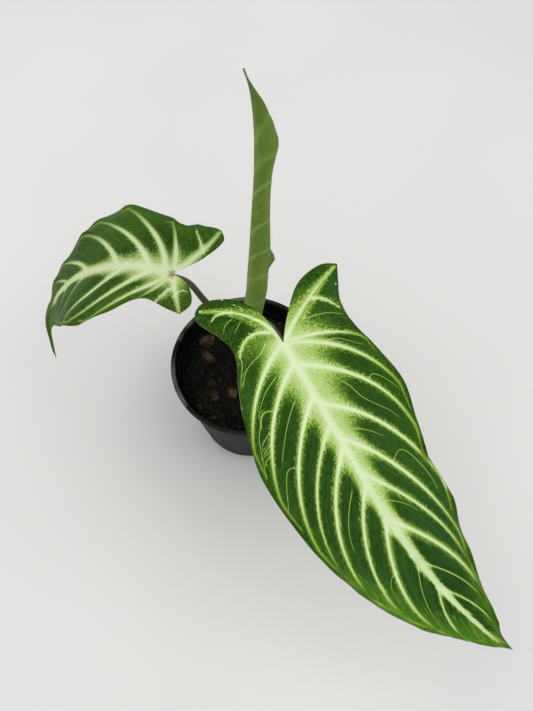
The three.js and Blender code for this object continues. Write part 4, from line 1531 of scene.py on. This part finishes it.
@dataclass(frozen=True)
class RolledLeaf:
    """The leaf that is still rolled: a sheet wound on an upright, slightly bent roll.

    Its midrib runs up the left side, its outer half goes round the front to the right, and its inner
    half winds inside. outline is height, the roll's left edge, its radius, and the outer and inner half's
    width. bands is the height, half the width and the strength of each pale band. The flare is the small
    flap of the outer edge, and free_from is the angle, in half turns, where the edge comes off the roll.
    """

    node: str = "leaf_new_blade"
    depth: float = 12.0
    thickness: float = 0.45
    rib_depth: float = 0.4
    rib_width: float = 0.8
    pitch: float = 1.4
    full_radius: float = 4.0
    sinus: float = 147.0
    notch: float = 9.0
    ridge: float = 0.7
    ridge_width: float = 1.6
    flare_height: float = 202.5
    flare_reach: float = 9.0
    flare_out: float = 3.1
    free_from: float = 1.82
    outline: Course = (
        (127, -2.3, 6.3, 9, 9), (133, -1.9, 6.4, 16, 14), (147, -0.9, 6.5, 20, 17.5),
        (168, 1.6, 6.5, 21.5, 26), (191, 3, 6.25, 22, 31), (215, 4.6, 5.95, 21, 31), (239, 5.9, 5.1, 18, 28),
        (261, 7.25, 4.5, 16.5, 25), (278, 8.1, 4.55, 18, 23), (297, 8.5, 5.85, 21, 19),
        (307, 8.4, 4.6, 15.5, 14.5), (316, 8.1, 4.1, 10.5, 8), (324, 7.4, 3.9, 8.6, 4.2),
        (331, 6.3, 2.4, 3.9, 1.2), (339, 4, 1.2, 0, 0),
    )  # fmt: skip
    bands: Course = (
        (150, 2.2, 0.7), (178, 2.2, 0.6), (202, 1.1, 1.0), (227, 1.1, 1.0), (241, 1.2, 0.35),
        (258, 1.1, 1.0), (277, 1.9, 0.7), (297, 2.0, 0.65),
    )  # fmt: skip
    band_rise: float = 0.35
    band_steepening: float = 0.005
    band_arch: float = 1.2
    softening: float = 3.0
    rows: int = 240
    notch_rows: int = 24
    columns: int = 56

    def sizes(self, height: Array) -> Array:
        """The outline's four values at a height, each the mean of those a little below and above it.

        Args:
            height: Heights of the places.

        Returns:
            Left edge, radius, and the outer and inner half's width at each.
        """
        heights, *table = np.array(self.outline).T
        spread = np.clip(np.minimum(height - heights[0], heights[-1] - height), 0.0, self.softening)
        near = [
            np.stack([np.interp(height + shift * spread, heights, values) for values in table], axis=-1)
            for shift in (-1.0, -0.4, 0.4, 1.0)
        ]
        return np.mean(near, axis=0)

    def in_space(self, height: Array, out: Array) -> Array:
        """The sheet's outside. The winding's radius falls by one pitch a turn from the outer edge in.

        Args:
            height: Heights of the places.
            out: Their distances from the midrib round the roll, below 0 on the inner half.

        Returns:
            Rows of points.
        """
        left, radius = np.moveaxis(self.sizes(height)[..., :2], -1, 0)
        angle = math.pi + out / np.maximum(radius, 1.0)
        turns = (TURN - angle) / TURN
        tight = np.minimum(radius / self.full_radius, 1.0)
        rib = self.ridge * np.maximum(0.0, 1 - np.abs(out) / self.ridge_width)
        near = np.clip(1 - np.abs(height - self.flare_height) / self.flare_reach, 0.0, 1.0) ** 1.1
        free = smooth_step(angle, self.free_from * math.pi, TURN)
        reach = radius - self.pitch * tight * np.maximum(turns, -0.1) + rib * tight
        reach = reach + self.flare_out * near * free
        centre = left + radius - 0.5 * self.pitch * tight
        return np.stack([centre + reach * np.cos(angle), self.depth + reach * np.sin(angle), height], -1)

    def band_values(self, places: Array) -> Array:
        """The pale bands, which rise from the midrib round the roll, and higher ones more steeply.

        Args:
            places: Distance from the midrib and height of each place.

        Returns:
            The strength of the strongest band at each place.
        """
        band = np.zeros(len(places))
        run = np.linspace(0.0, 24.0, 120)
        for start, wide, strength in self.bands:
            radius = float(self.sizes(np.array(start))[1])
            arch = self.band_arch * radius * np.sin(np.minimum(run / radius, math.pi))
            slope = self.band_rise + self.band_steepening * (start - self.outline[0][0])
            distance = distances_to(np.stack([run, start + slope * run + arch], axis=-1), places)[0]
            band = np.maximum(band, strength * bell(distance, wide))
        return band

    def half(self, sign: int) -> Patch:
        """One half of the sheet, from the midrib or the notch to its margin.

        Args:
            sign: 1 for the outer half, and -1 for the inner one.

        Returns:
            The half's patch.
        """
        low, high = self.outline[0][0], self.outline[-1][0]
        lower = np.linspace(low, self.sinus, self.notch_rows)
        height = np.append(lower, np.linspace(self.sinus, high, self.rows)[1:])
        notch = self.notch * np.clip((self.sinus - height) / (self.sinus - low), 0.0, 1.0) ** 0.7
        width = np.maximum(self.sizes(height)[:, 2 if sign > 0 else 3], notch)
        share = np.linspace(0.0, 1.0, self.columns)
        out = notch[:, None] + (width - notch)[:, None] * share[None, :]
        tall = np.broadcast_to(height[:, None], out.shape)
        # Painted sheen: 1 near the midrib, fading to 0 at the free edge, and weaker near the top.
        sheen = 1 - smooth_step(out / width.max(), 0.45, 1.02)
        values = {
            "band": self.band_values(np.stack([out.ravel(), tall.ravel()], axis=-1)),
            "out": out.ravel() * sign,
            "height": tall.ravel(),
            "sheen": (sheen * (1 - 0.6 * smooth_step(tall, 280.0, 335.0))).ravel(),
        }
        points = self.in_space(tall, sign * out).reshape(-1, 3)
        return Patch(points, grid_triangles(*out.shape, flipped=sign < 0), values)

    def build(self) -> bpy.types.Object:
        """The rolled blade as a closed sheet, with its midrib standing out inside."""
        near = joined([self.half(1), self.half(-1)])
        rib = self.rib_depth * bell(near.values["out"], self.rib_width)
        return to_object(f"{self.node}_look", closed_sheet(near, self.thickness + rib))

    def dress(self, piece: bpy.types.Object) -> None:
        """Puts the rolled skin on it."""
        finish_piece(piece, self.node, "new_leaf", RolledSkin().material())


# Stalks


@dataclass(frozen=True)
class Stalk:
    """A round stalk along a route from the rhizome to its leaf.

    The radii are at the foot, halfway and at the head. seat is how far the head is raised to its leaf.
    """

    node: str
    slot: str
    route: Course
    radii: tuple[float, ...]
    finish: StalkSkin
    seat: float = 0.0
    rings: int = 150
    sides: int = 28
    dome_rings: float = 3.0
    knuckle: float = 0.06
    knuckle_place: float = 0.9
    groove: float = 0.05

    def radius(self, share: Array) -> Array:
        """The radius along the stalk: it swells a little below the head, and each end closes in a dome.

        Args:
            share: Places along the stalk, from 0 to 1.

        Returns:
            One radius for each.
        """
        radius = np.interp(share, [0.0, 0.5, 1.0], self.radii)
        swell = 1 + self.knuckle * bell(share - self.knuckle_place, 0.05)
        inside = np.minimum(share, 1 - share) * self.rings / self.dome_rings
        return radius * swell * np.sqrt(np.clip(1 - (1 - inside).clip(0) ** 2, 0, 1))

    def directions(self, ways: Array) -> Array:
        """A direction across each way, turned as little as possible from one to the next.

        Args:
            ways: The directions along the stalk.

        Returns:
            The directions across it.
        """
        across = np.empty_like(ways)
        reference = np.array([1.0, 0.0, 0.0])
        for ring, way in enumerate(ways):
            reference = unit(reference - way * (reference @ way))
            across[ring] = reference
        return across

    def build(self) -> bpy.types.Object:
        """A circle with a shallow groove on one side, carried along the route."""
        centres = stalk_line(self.route, self.rings)
        share = np.linspace(0.0, 1.0, self.rings)
        centres[:, 2] += self.seat * smooth_step(share, 0.84, 0.97)
        ways = unit(np.gradient(centres, axis=0))
        across = self.directions(ways)
        angle = np.linspace(0.0, TURN, self.sides + 1)
        spread = self.radius(share)[:, None] * (1 - self.groove * bell(angle - math.pi, 0.5))[None, :]
        points = centres[:, None] + (spread * np.cos(angle))[..., None] * across[:, None]
        points = points + (spread * np.sin(angle))[..., None] * np.cross(ways, across)[:, None]
        values = {
            "along": np.repeat(run_along(centres), len(angle)),
            "around": np.tile(np.abs(angle / math.pi - 1), self.rings),
            "rise": np.repeat(share, len(angle)),
        }
        grid = grid_triangles(self.rings, len(angle))
        return to_object(f"{self.node}_look", joined([Patch(points.reshape(-1, 3), grid, values)]))

    def dress(self, piece: bpy.types.Object) -> None:
        """Puts the stalk's skin on it."""
        finish_piece(piece, self.node, self.slot, self.finish.material())


def stalks() -> Iterator[Stalk]:
    """The three stalks."""
    olive = StalkSkin("stalk_skin", dark="2c2a14", light="4b4826", head="4d5228")
    yield Stalk(
        node="leaf_front_petiole",
        slot="stalk",
        route=(
            (3, 5, 64), (3.4, 4.6, 90), (5.5, 1, 120), (9.5, -7.5, 156), (14.5, -19, 180.5),
            (19.4, -29.2, 186.4), (24.7, -37.8, 183.9),
        ),
        radii=(3.3, 3.0, 1.8),
        finish=olive,
        seat=0.6,
    )  # fmt: skip
    yield Stalk(
        node="leaf_left_petiole",
        slot="stalk",
        route=(
            (-5.2, 12, 64), (-6.5, 12, 86), (-13.5, 11.2, 124), (-20, 10.5, 145), (-26, 9.8, 162),
            (-32.5, 9, 181), (-37.4, 8.6, 186.9), (-44.8, 10.9, 186.65),
        ),
        radii=(2.9, 2.6, 1.6),
        finish=olive,
        seat=0.6,
    )  # fmt: skip
    yield Stalk(
        node="leaf_new_petiole",
        slot="new_stalk",
        route=((2.4, 15, 64), (1.8, 14.6, 84), (1.6, 12.8, 112), (1.9, 12.1, 128), (3.3, 12, 151)),
        radii=(3.6, 3.4, 2.9),
        finish=StalkSkin("young_stalk_skin", dark="5c7038", light="7d9250", head="8aa05c"),
    )


# Pot and mix


@dataclass(frozen=True)
class Pot:
    """The round nursery pot with its lip, the band below it, the recessed base and the drain holes."""

    node: str = "pot"
    height: float = 92.0
    rim_radius: float = 54.0
    base_radius: float = 38.0
    shoulder_radius: float = 49.6
    shoulder_height: float = 79.0
    band_height: float = 80.4
    band_radius: float = 51.4
    band_slope: float = 1.3
    lip_width: float = 3.0
    lip_height: float = 2.4
    lip_flange: float = 1.5
    softening: float = 0.7
    edge_softening: float = 0.4
    wall: float = 1.4
    floor: float = 2.4
    recess: float = 1.0
    recess_inner: float = 19.0
    recess_outer: float = 34.0
    drains: int = 8
    drain_radius: float = 3.6
    drain_circle: float = 26.5
    drain_sides: int = 28
    segments: int = 144
    sharp_angle: float = 50.0

    def profile(self) -> Array:
        """The wall's profile, from the middle of the base round the lip to the middle of the floor."""
        soft, edge, lip_floor = self.softening, self.edge_softening, self.height - self.lip_height
        lip_inside = self.rim_radius - self.lip_width
        return rounded(
            [
                (0, 0, 0),
                (self.recess_inner, 0, edge),
                (self.recess_inner + self.recess, self.recess, edge),
                (self.recess_outer - self.recess, self.recess, edge),
                (self.recess_outer, 0, edge),
                (self.base_radius, 0, 1.6 * soft),
                (self.shoulder_radius, self.shoulder_height, soft),
                (self.band_radius, self.band_height, soft),
                (self.rim_radius - self.band_slope, lip_floor, edge),
                (self.rim_radius, lip_floor + 0.2, soft),
                (self.rim_radius, self.height, 1.5 * soft),
                (lip_inside, self.height, 1.5 * soft),
                (lip_inside, self.height - self.lip_flange, soft),
                (self.band_radius - self.wall, self.band_height + soft, soft),
                (self.shoulder_radius - self.wall, self.shoulder_height - soft, soft),
                (self.base_radius - self.wall, self.floor, 1.6 * soft),
                (0, self.floor, 0),
            ]
        )

    def drain(self, number: int) -> Patch:
        """A round bar where a drain hole goes.

        Args:
            number: The hole's number, from 0.

        Returns:
            The bar, closed at its ends.
        """
        below, above, radius = -2.0, 5.0, self.drain_radius
        profile = np.array([[0, below], [radius, below], [radius, above], [0, above]])
        bar = turned_profile(profile, self.drain_sides)
        angle = TURN * (number + 0.5) / self.drains
        bar.points += [self.drain_circle * math.cos(angle), self.drain_circle * math.sin(angle), 0.0]
        return bar

    def build(self) -> bpy.types.Object:
        """The turned wall, with the drain holes cut through its floor."""
        piece = to_object(f"{self.node}_look", turned_profile(self.profile(), self.segments))
        cutter = to_object("drain_cutter", joined([self.drain(number) for number in range(self.drains)]))
        cut = piece.modifiers.new("drains", "BOOLEAN")
        cut.operation = "DIFFERENCE"
        cut.object = cutter
        cut.solver = "EXACT"
        bpy.context.view_layer.update()
        evaluated = piece.evaluated_get(bpy.context.evaluated_depsgraph_get())
        mesh = bpy.data.meshes.new_from_object(evaluated)
        piece.modifiers.clear()
        piece.data = mesh
        bpy.data.objects.remove(cutter)
        mesh.shade_smooth()
        mesh.set_sharp_from_angle(angle=math.radians(self.sharp_angle))
        return piece

    def dress(self, piece: bpy.types.Object) -> None:
        """Puts the plastic on it."""
        finish_piece(piece, self.node, "pot_plastic", PotPlastic().material())


@dataclass(frozen=True)
class PottingMix:
    """The mix that fills the pot: a body with an uneven top, bark pieces half sunk in it, and crumbs.

    blockiness is the power that makes a piece's sphere boxy, and knobs how far its swells stand out.
    """

    node: str = "potting_mix"
    top: float = 79.3
    unevenness: float = 0.9
    lumps: float = 0.22
    edge_drop: float = 2.2
    edge_radius: float = 47.6
    foot_radius: float = 36.25
    foot: float = 2.75
    foot_bevel: float = 0.7
    chunks: int = 28
    chunk_length: tuple[float, float] = (7.0, 13.0)
    chunk_field: float = 39.0
    stem_place: tuple[float, float] = (0.0, 11.0)
    stem_room: float = 8.0
    crumbs: int = 900
    crumb_length: tuple[float, float] = (1.2, 5.5)
    blockiness: float = 3.2
    roughness: float = 0.16
    knobs: float = 0.2
    seed: int = 41
    rings: int = 90
    segments: int = 160

    def surface_height(self, x: Array, y: Array) -> Array:
        """The top's height: a slow swell of two sines and a quick one of two more."""
        slow = np.sin(0.13 * x + 0.6) * np.cos(0.11 * y - 0.4)
        quick = np.sin(0.31 * x - 0.22 * y + 1.2) + np.cos(0.27 * x + 0.36 * y)
        return self.top + self.unevenness * (slow + 0.45 * quick)

    def drop(self, radius: Array) -> Array:
        """How far the top sinks towards the pot's wall."""
        return self.edge_drop * smooth_step(radius, 40.0, 47.0)

    def draws(self) -> Iterator[float]:
        """Repeatable random numbers from 0 to 1: a state is the last one times 1664525 plus 1013904223.

        Yields:
            The state's last 32 bits as a share of their range.
        """
        state = self.seed
        while True:
            state = (state * 1664525 + 1013904223) % 2**32
            yield state / 2**32

    def chunk_places(self) -> Array:
        """Place, sizes and turns of each bark piece, clear of the stalks."""
        draws = self.draws()
        short, long = self.chunk_length
        places: list[Point] = []
        while len(places) < self.chunks:
            radius = self.chunk_field * math.sqrt(next(draws))
            angle = TURN * next(draws)
            x, y = radius * math.cos(angle), radius * math.sin(angle)
            length = short + (long - short) * next(draws)
            turn, tilt, roll = math.pi * next(draws), 0.7 * next(draws) - 0.35, 0.6 * next(draws) - 0.3
            if math.dist((x, y), self.stem_place) < self.stem_room + length / 2:
                continue
            wide, tall = length * (0.5 + 0.25 * next(draws)), length * (0.32 + 0.13 * next(draws))
            z = float(self.surface_height(np.array(x), np.array(y))) + 0.5 * next(draws)
            places.append((x, y, z, length, wide, tall, roll, tilt, turn))
        return np.array(places)

    def crumb_places(self) -> Array:
        """Place, sizes and turns of the small pieces, which lie all over the top."""
        random, count = np.random.default_rng(self.seed), self.crumbs
        short, long = self.crumb_length
        radius = (self.edge_radius - 2.5) * np.sqrt(random.random(count))
        angle = TURN * random.random(count)
        x, y = radius * np.cos(angle), radius * np.sin(angle)
        length = short + (long - short) * random.random(count) ** 2.2
        wide, tall = length * random.uniform(0.4, 0.8, count), length * random.uniform(0.3, 0.6, count)
        z = self.surface_height(x, y) + random.uniform(-0.1, 0.35, count) - self.drop(radius)
        roll, tilt = random.uniform(-1.0, 1.0, (2, count))
        turn = random.uniform(0.0, math.pi, count)
        return np.stack([x, y, z, length, wide, tall, roll, tilt, turn], axis=1)

    def boxy_ball(self, levels: int) -> tuple[Array, Indices]:
        """A rounded box 1 across: a sphere's points over the root of the sum of their numbers' powers.

        Args:
            levels: 1 gives 20 faces, and each level more four times as many.

        Returns:
            Its points and its triangles.
        """
        ball = bmesh.new()
        bmesh.ops.create_icosphere(ball, subdivisions=levels, radius=1.0)
        points = np.array([vertex.co[:] for vertex in ball.verts])
        faces = np.array([[corner.index for corner in face.verts] for face in ball.faces])
        ball.free()
        size = (np.abs(points) ** self.blockiness).sum(axis=1) ** (1 / self.blockiness)
        return points / (2 * size[:, None]), faces

    def pieces(self, places: Array, levels: int, tint: tuple[float, float]) -> Patch:
        """Knobbly pieces: a boxy ball's points pushed in and out, stretched, turned and set in place.

        Args:
            places: Place, three sizes and three turns of each.
            levels: The ball's fineness, as boxy_ball takes it.
            tint: Least and greatest tint.

        Returns:
            All of them as one patch.
        """
        ball, faces = self.boxy_ball(levels)
        random = np.random.default_rng(self.seed + levels)
        bulge = 1 + self.roughness * (random.random((len(places), len(ball))) - 0.5)
        for pace in (3.0, 5.5):
            ways = 2 * pace * unit(random.normal(size=(len(places), 3)))
            swells = np.sin(ways @ ball.T + random.uniform(0, TURN, (len(places), 1)))
            bulge += self.knobs * 3.0 / pace * swells
        points = ball[None] * bulge[..., None] * places[:, None, 3:6]
        for axis, turns in enumerate(places[:, 6:].T):
            first, second = (axis + 1) % 3, (axis + 2) % 3
            cos, sin = np.cos(turns)[:, None], np.sin(turns)[:, None]
            a, b = points[..., first].copy(), points[..., second].copy()
            points[..., first], points[..., second] = cos * a - sin * b, sin * a + cos * b
        points += places[:, None, :3]
        tints = np.repeat(random.uniform(*tint, len(places)), len(ball))
        triangles = faces[None] + (np.arange(len(places)) * len(ball))[:, None, None]
        return Patch(points.reshape(-1, 3), triangles.reshape(-1, 3), {"tint": tints})

    def body(self) -> Patch:
        """The filling, turned, whose top follows the uneven surface with fine lumps on it."""
        radii = np.linspace(self.edge_radius, 0.0, self.rings)
        bevel = self.foot_bevel
        side = [
            [0.0, self.foot],
            [self.foot_radius - bevel, self.foot],
            [self.foot_radius, self.foot + bevel],
            [self.edge_radius, self.top - self.edge_drop - 1.0],
        ]
        patch = turned_profile(np.array(side + [[radius, self.top] for radius in radii]), self.segments)
        x, y, z = patch.points.T
        lumps = np.sin(1.9 * x + 0.7 * y) * np.sin(1.6 * y - 0.5 * x)
        lumps = lumps + 0.6 * np.sin(4.1 * x) * np.cos(3.7 * y)
        top = self.surface_height(x, y) + self.lumps * lumps - self.drop(np.hypot(x, y))
        patch.points[:, 2] = np.where(z > self.top - 0.01, top, z)
        patch.values["tint"] = 0.12 + 0.1 * np.sin(0.9 * x + 1.3 * y)
        return patch

    def build(self) -> bpy.types.Object:
        """The body, the bark pieces and the crumbs in one object."""
        chunks = self.pieces(self.chunk_places(), 3, (0.1, 0.85))
        crumbs = self.pieces(self.crumb_places(), 1, (0.02, 0.6))
        return to_object(f"{self.node}_look", joined([self.body(), chunks, crumbs]))

    def dress(self, piece: bpy.types.Object) -> None:
        """Puts the soil finish on it."""
        finish_piece(piece, self.node, "potting_mix", PottingSoil().material())


# Studio


@dataclass(frozen=True)
class Lamp:
    """A square soft light. Its place is in millimetres, its size in metres and its power in watts."""

    name: str
    place: Point
    size: float
    power: float


@dataclass(frozen=True)
class Studio:
    """A plain pale floor, soft light from above, and a camera at the photo's viewing angle."""

    camera_place: Point = (13.5, -222.0, 548.0)
    elevation: float = 63.5
    focal_pixels: float = 720.0
    frame_pixels: float = 711.0
    sensor: float = 36.0
    floor_size: float = 6000.0
    sky: Colour = (0.97, 0.98, 1.0, 1.0)
    sky_strength: float = 0.63
    aim_point: Point = (0.0, 0.0, 120.0)
    lamps: tuple[Lamp, ...] = (
        Lamp("window", (-900, 400, 1500), 1.4, 11.0),
        Lamp("fill", (900, -500, 1300), 1.2, 8.0),
    )

    def lay_floor(self) -> None:
        """A large flat square under the pot."""
        corners = self.floor_size / 2 * np.array([[-1, -1, 0], [1, -1, 0], [1, 1, 0], [-1, 1, 0]])
        floor = to_object("floor", Patch(corners, np.array([[0, 1, 2], [0, 2, 3]]), {}))
        floor.data.materials.append(PaleFloor().material())

    def light(self) -> None:
        """A large soft light above left, a weaker one on the right, and an even pale sky."""
        world = bpy.data.worlds.new("sky")
        world.use_nodes = True
        background = world.node_tree.nodes["Background"]
        background.inputs["Color"].default_value = self.sky
        background.inputs["Strength"].default_value = self.sky_strength
        bpy.context.scene.world = world
        bpy.context.scene.view_settings.view_transform = "Standard"
        for lamp in self.lamps:
            data = bpy.data.lights.new(lamp.name, "AREA")
            data.size = lamp.size
            data.energy = lamp.power
            light = linked(bpy.data.objects.new(lamp.name, data))
            light.location = Vector(lamp.place) * MM
            way = Vector(self.aim_point) - Vector(lamp.place)
            light.rotation_euler = way.to_track_quat("-Z", "Y").to_euler()

    def aim(self) -> None:
        """The camera, whose lens follows from the focal length in pixels over the frame's height."""
        data = bpy.data.cameras.new("camera")
        data.sensor_fit = "VERTICAL"
        data.sensor_height = self.sensor
        data.lens = self.focal_pixels / self.frame_pixels * self.sensor
        data.clip_start = 0.01
        camera = linked(bpy.data.objects.new("camera", data))
        camera.location = Vector(self.camera_place) * MM
        camera.rotation_euler = (math.radians(90.0 - self.elevation), 0.0, 0.0)
        bpy.context.scene.camera = camera


def main() -> None:
    """Builds and dresses every piece, then the studio."""
    logging.basicConfig(level=logging.INFO, format="%(message)s")
    studio = Studio()
    studio.aim()
    for part in (Pot(), PottingMix(), *stalks(), front_leaf(), left_leaf(), RolledLeaf()):
        part.dress(part.build())
    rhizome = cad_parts["rhizome"]
    rhizome.data.materials.clear()
    rhizome.data.materials.append(CorkySkin().material())
    log.info("rhizome: the part's own solid in its corky skin")
    studio.lay_floor()
    studio.light()


if __name__ == "__main__":
    main()
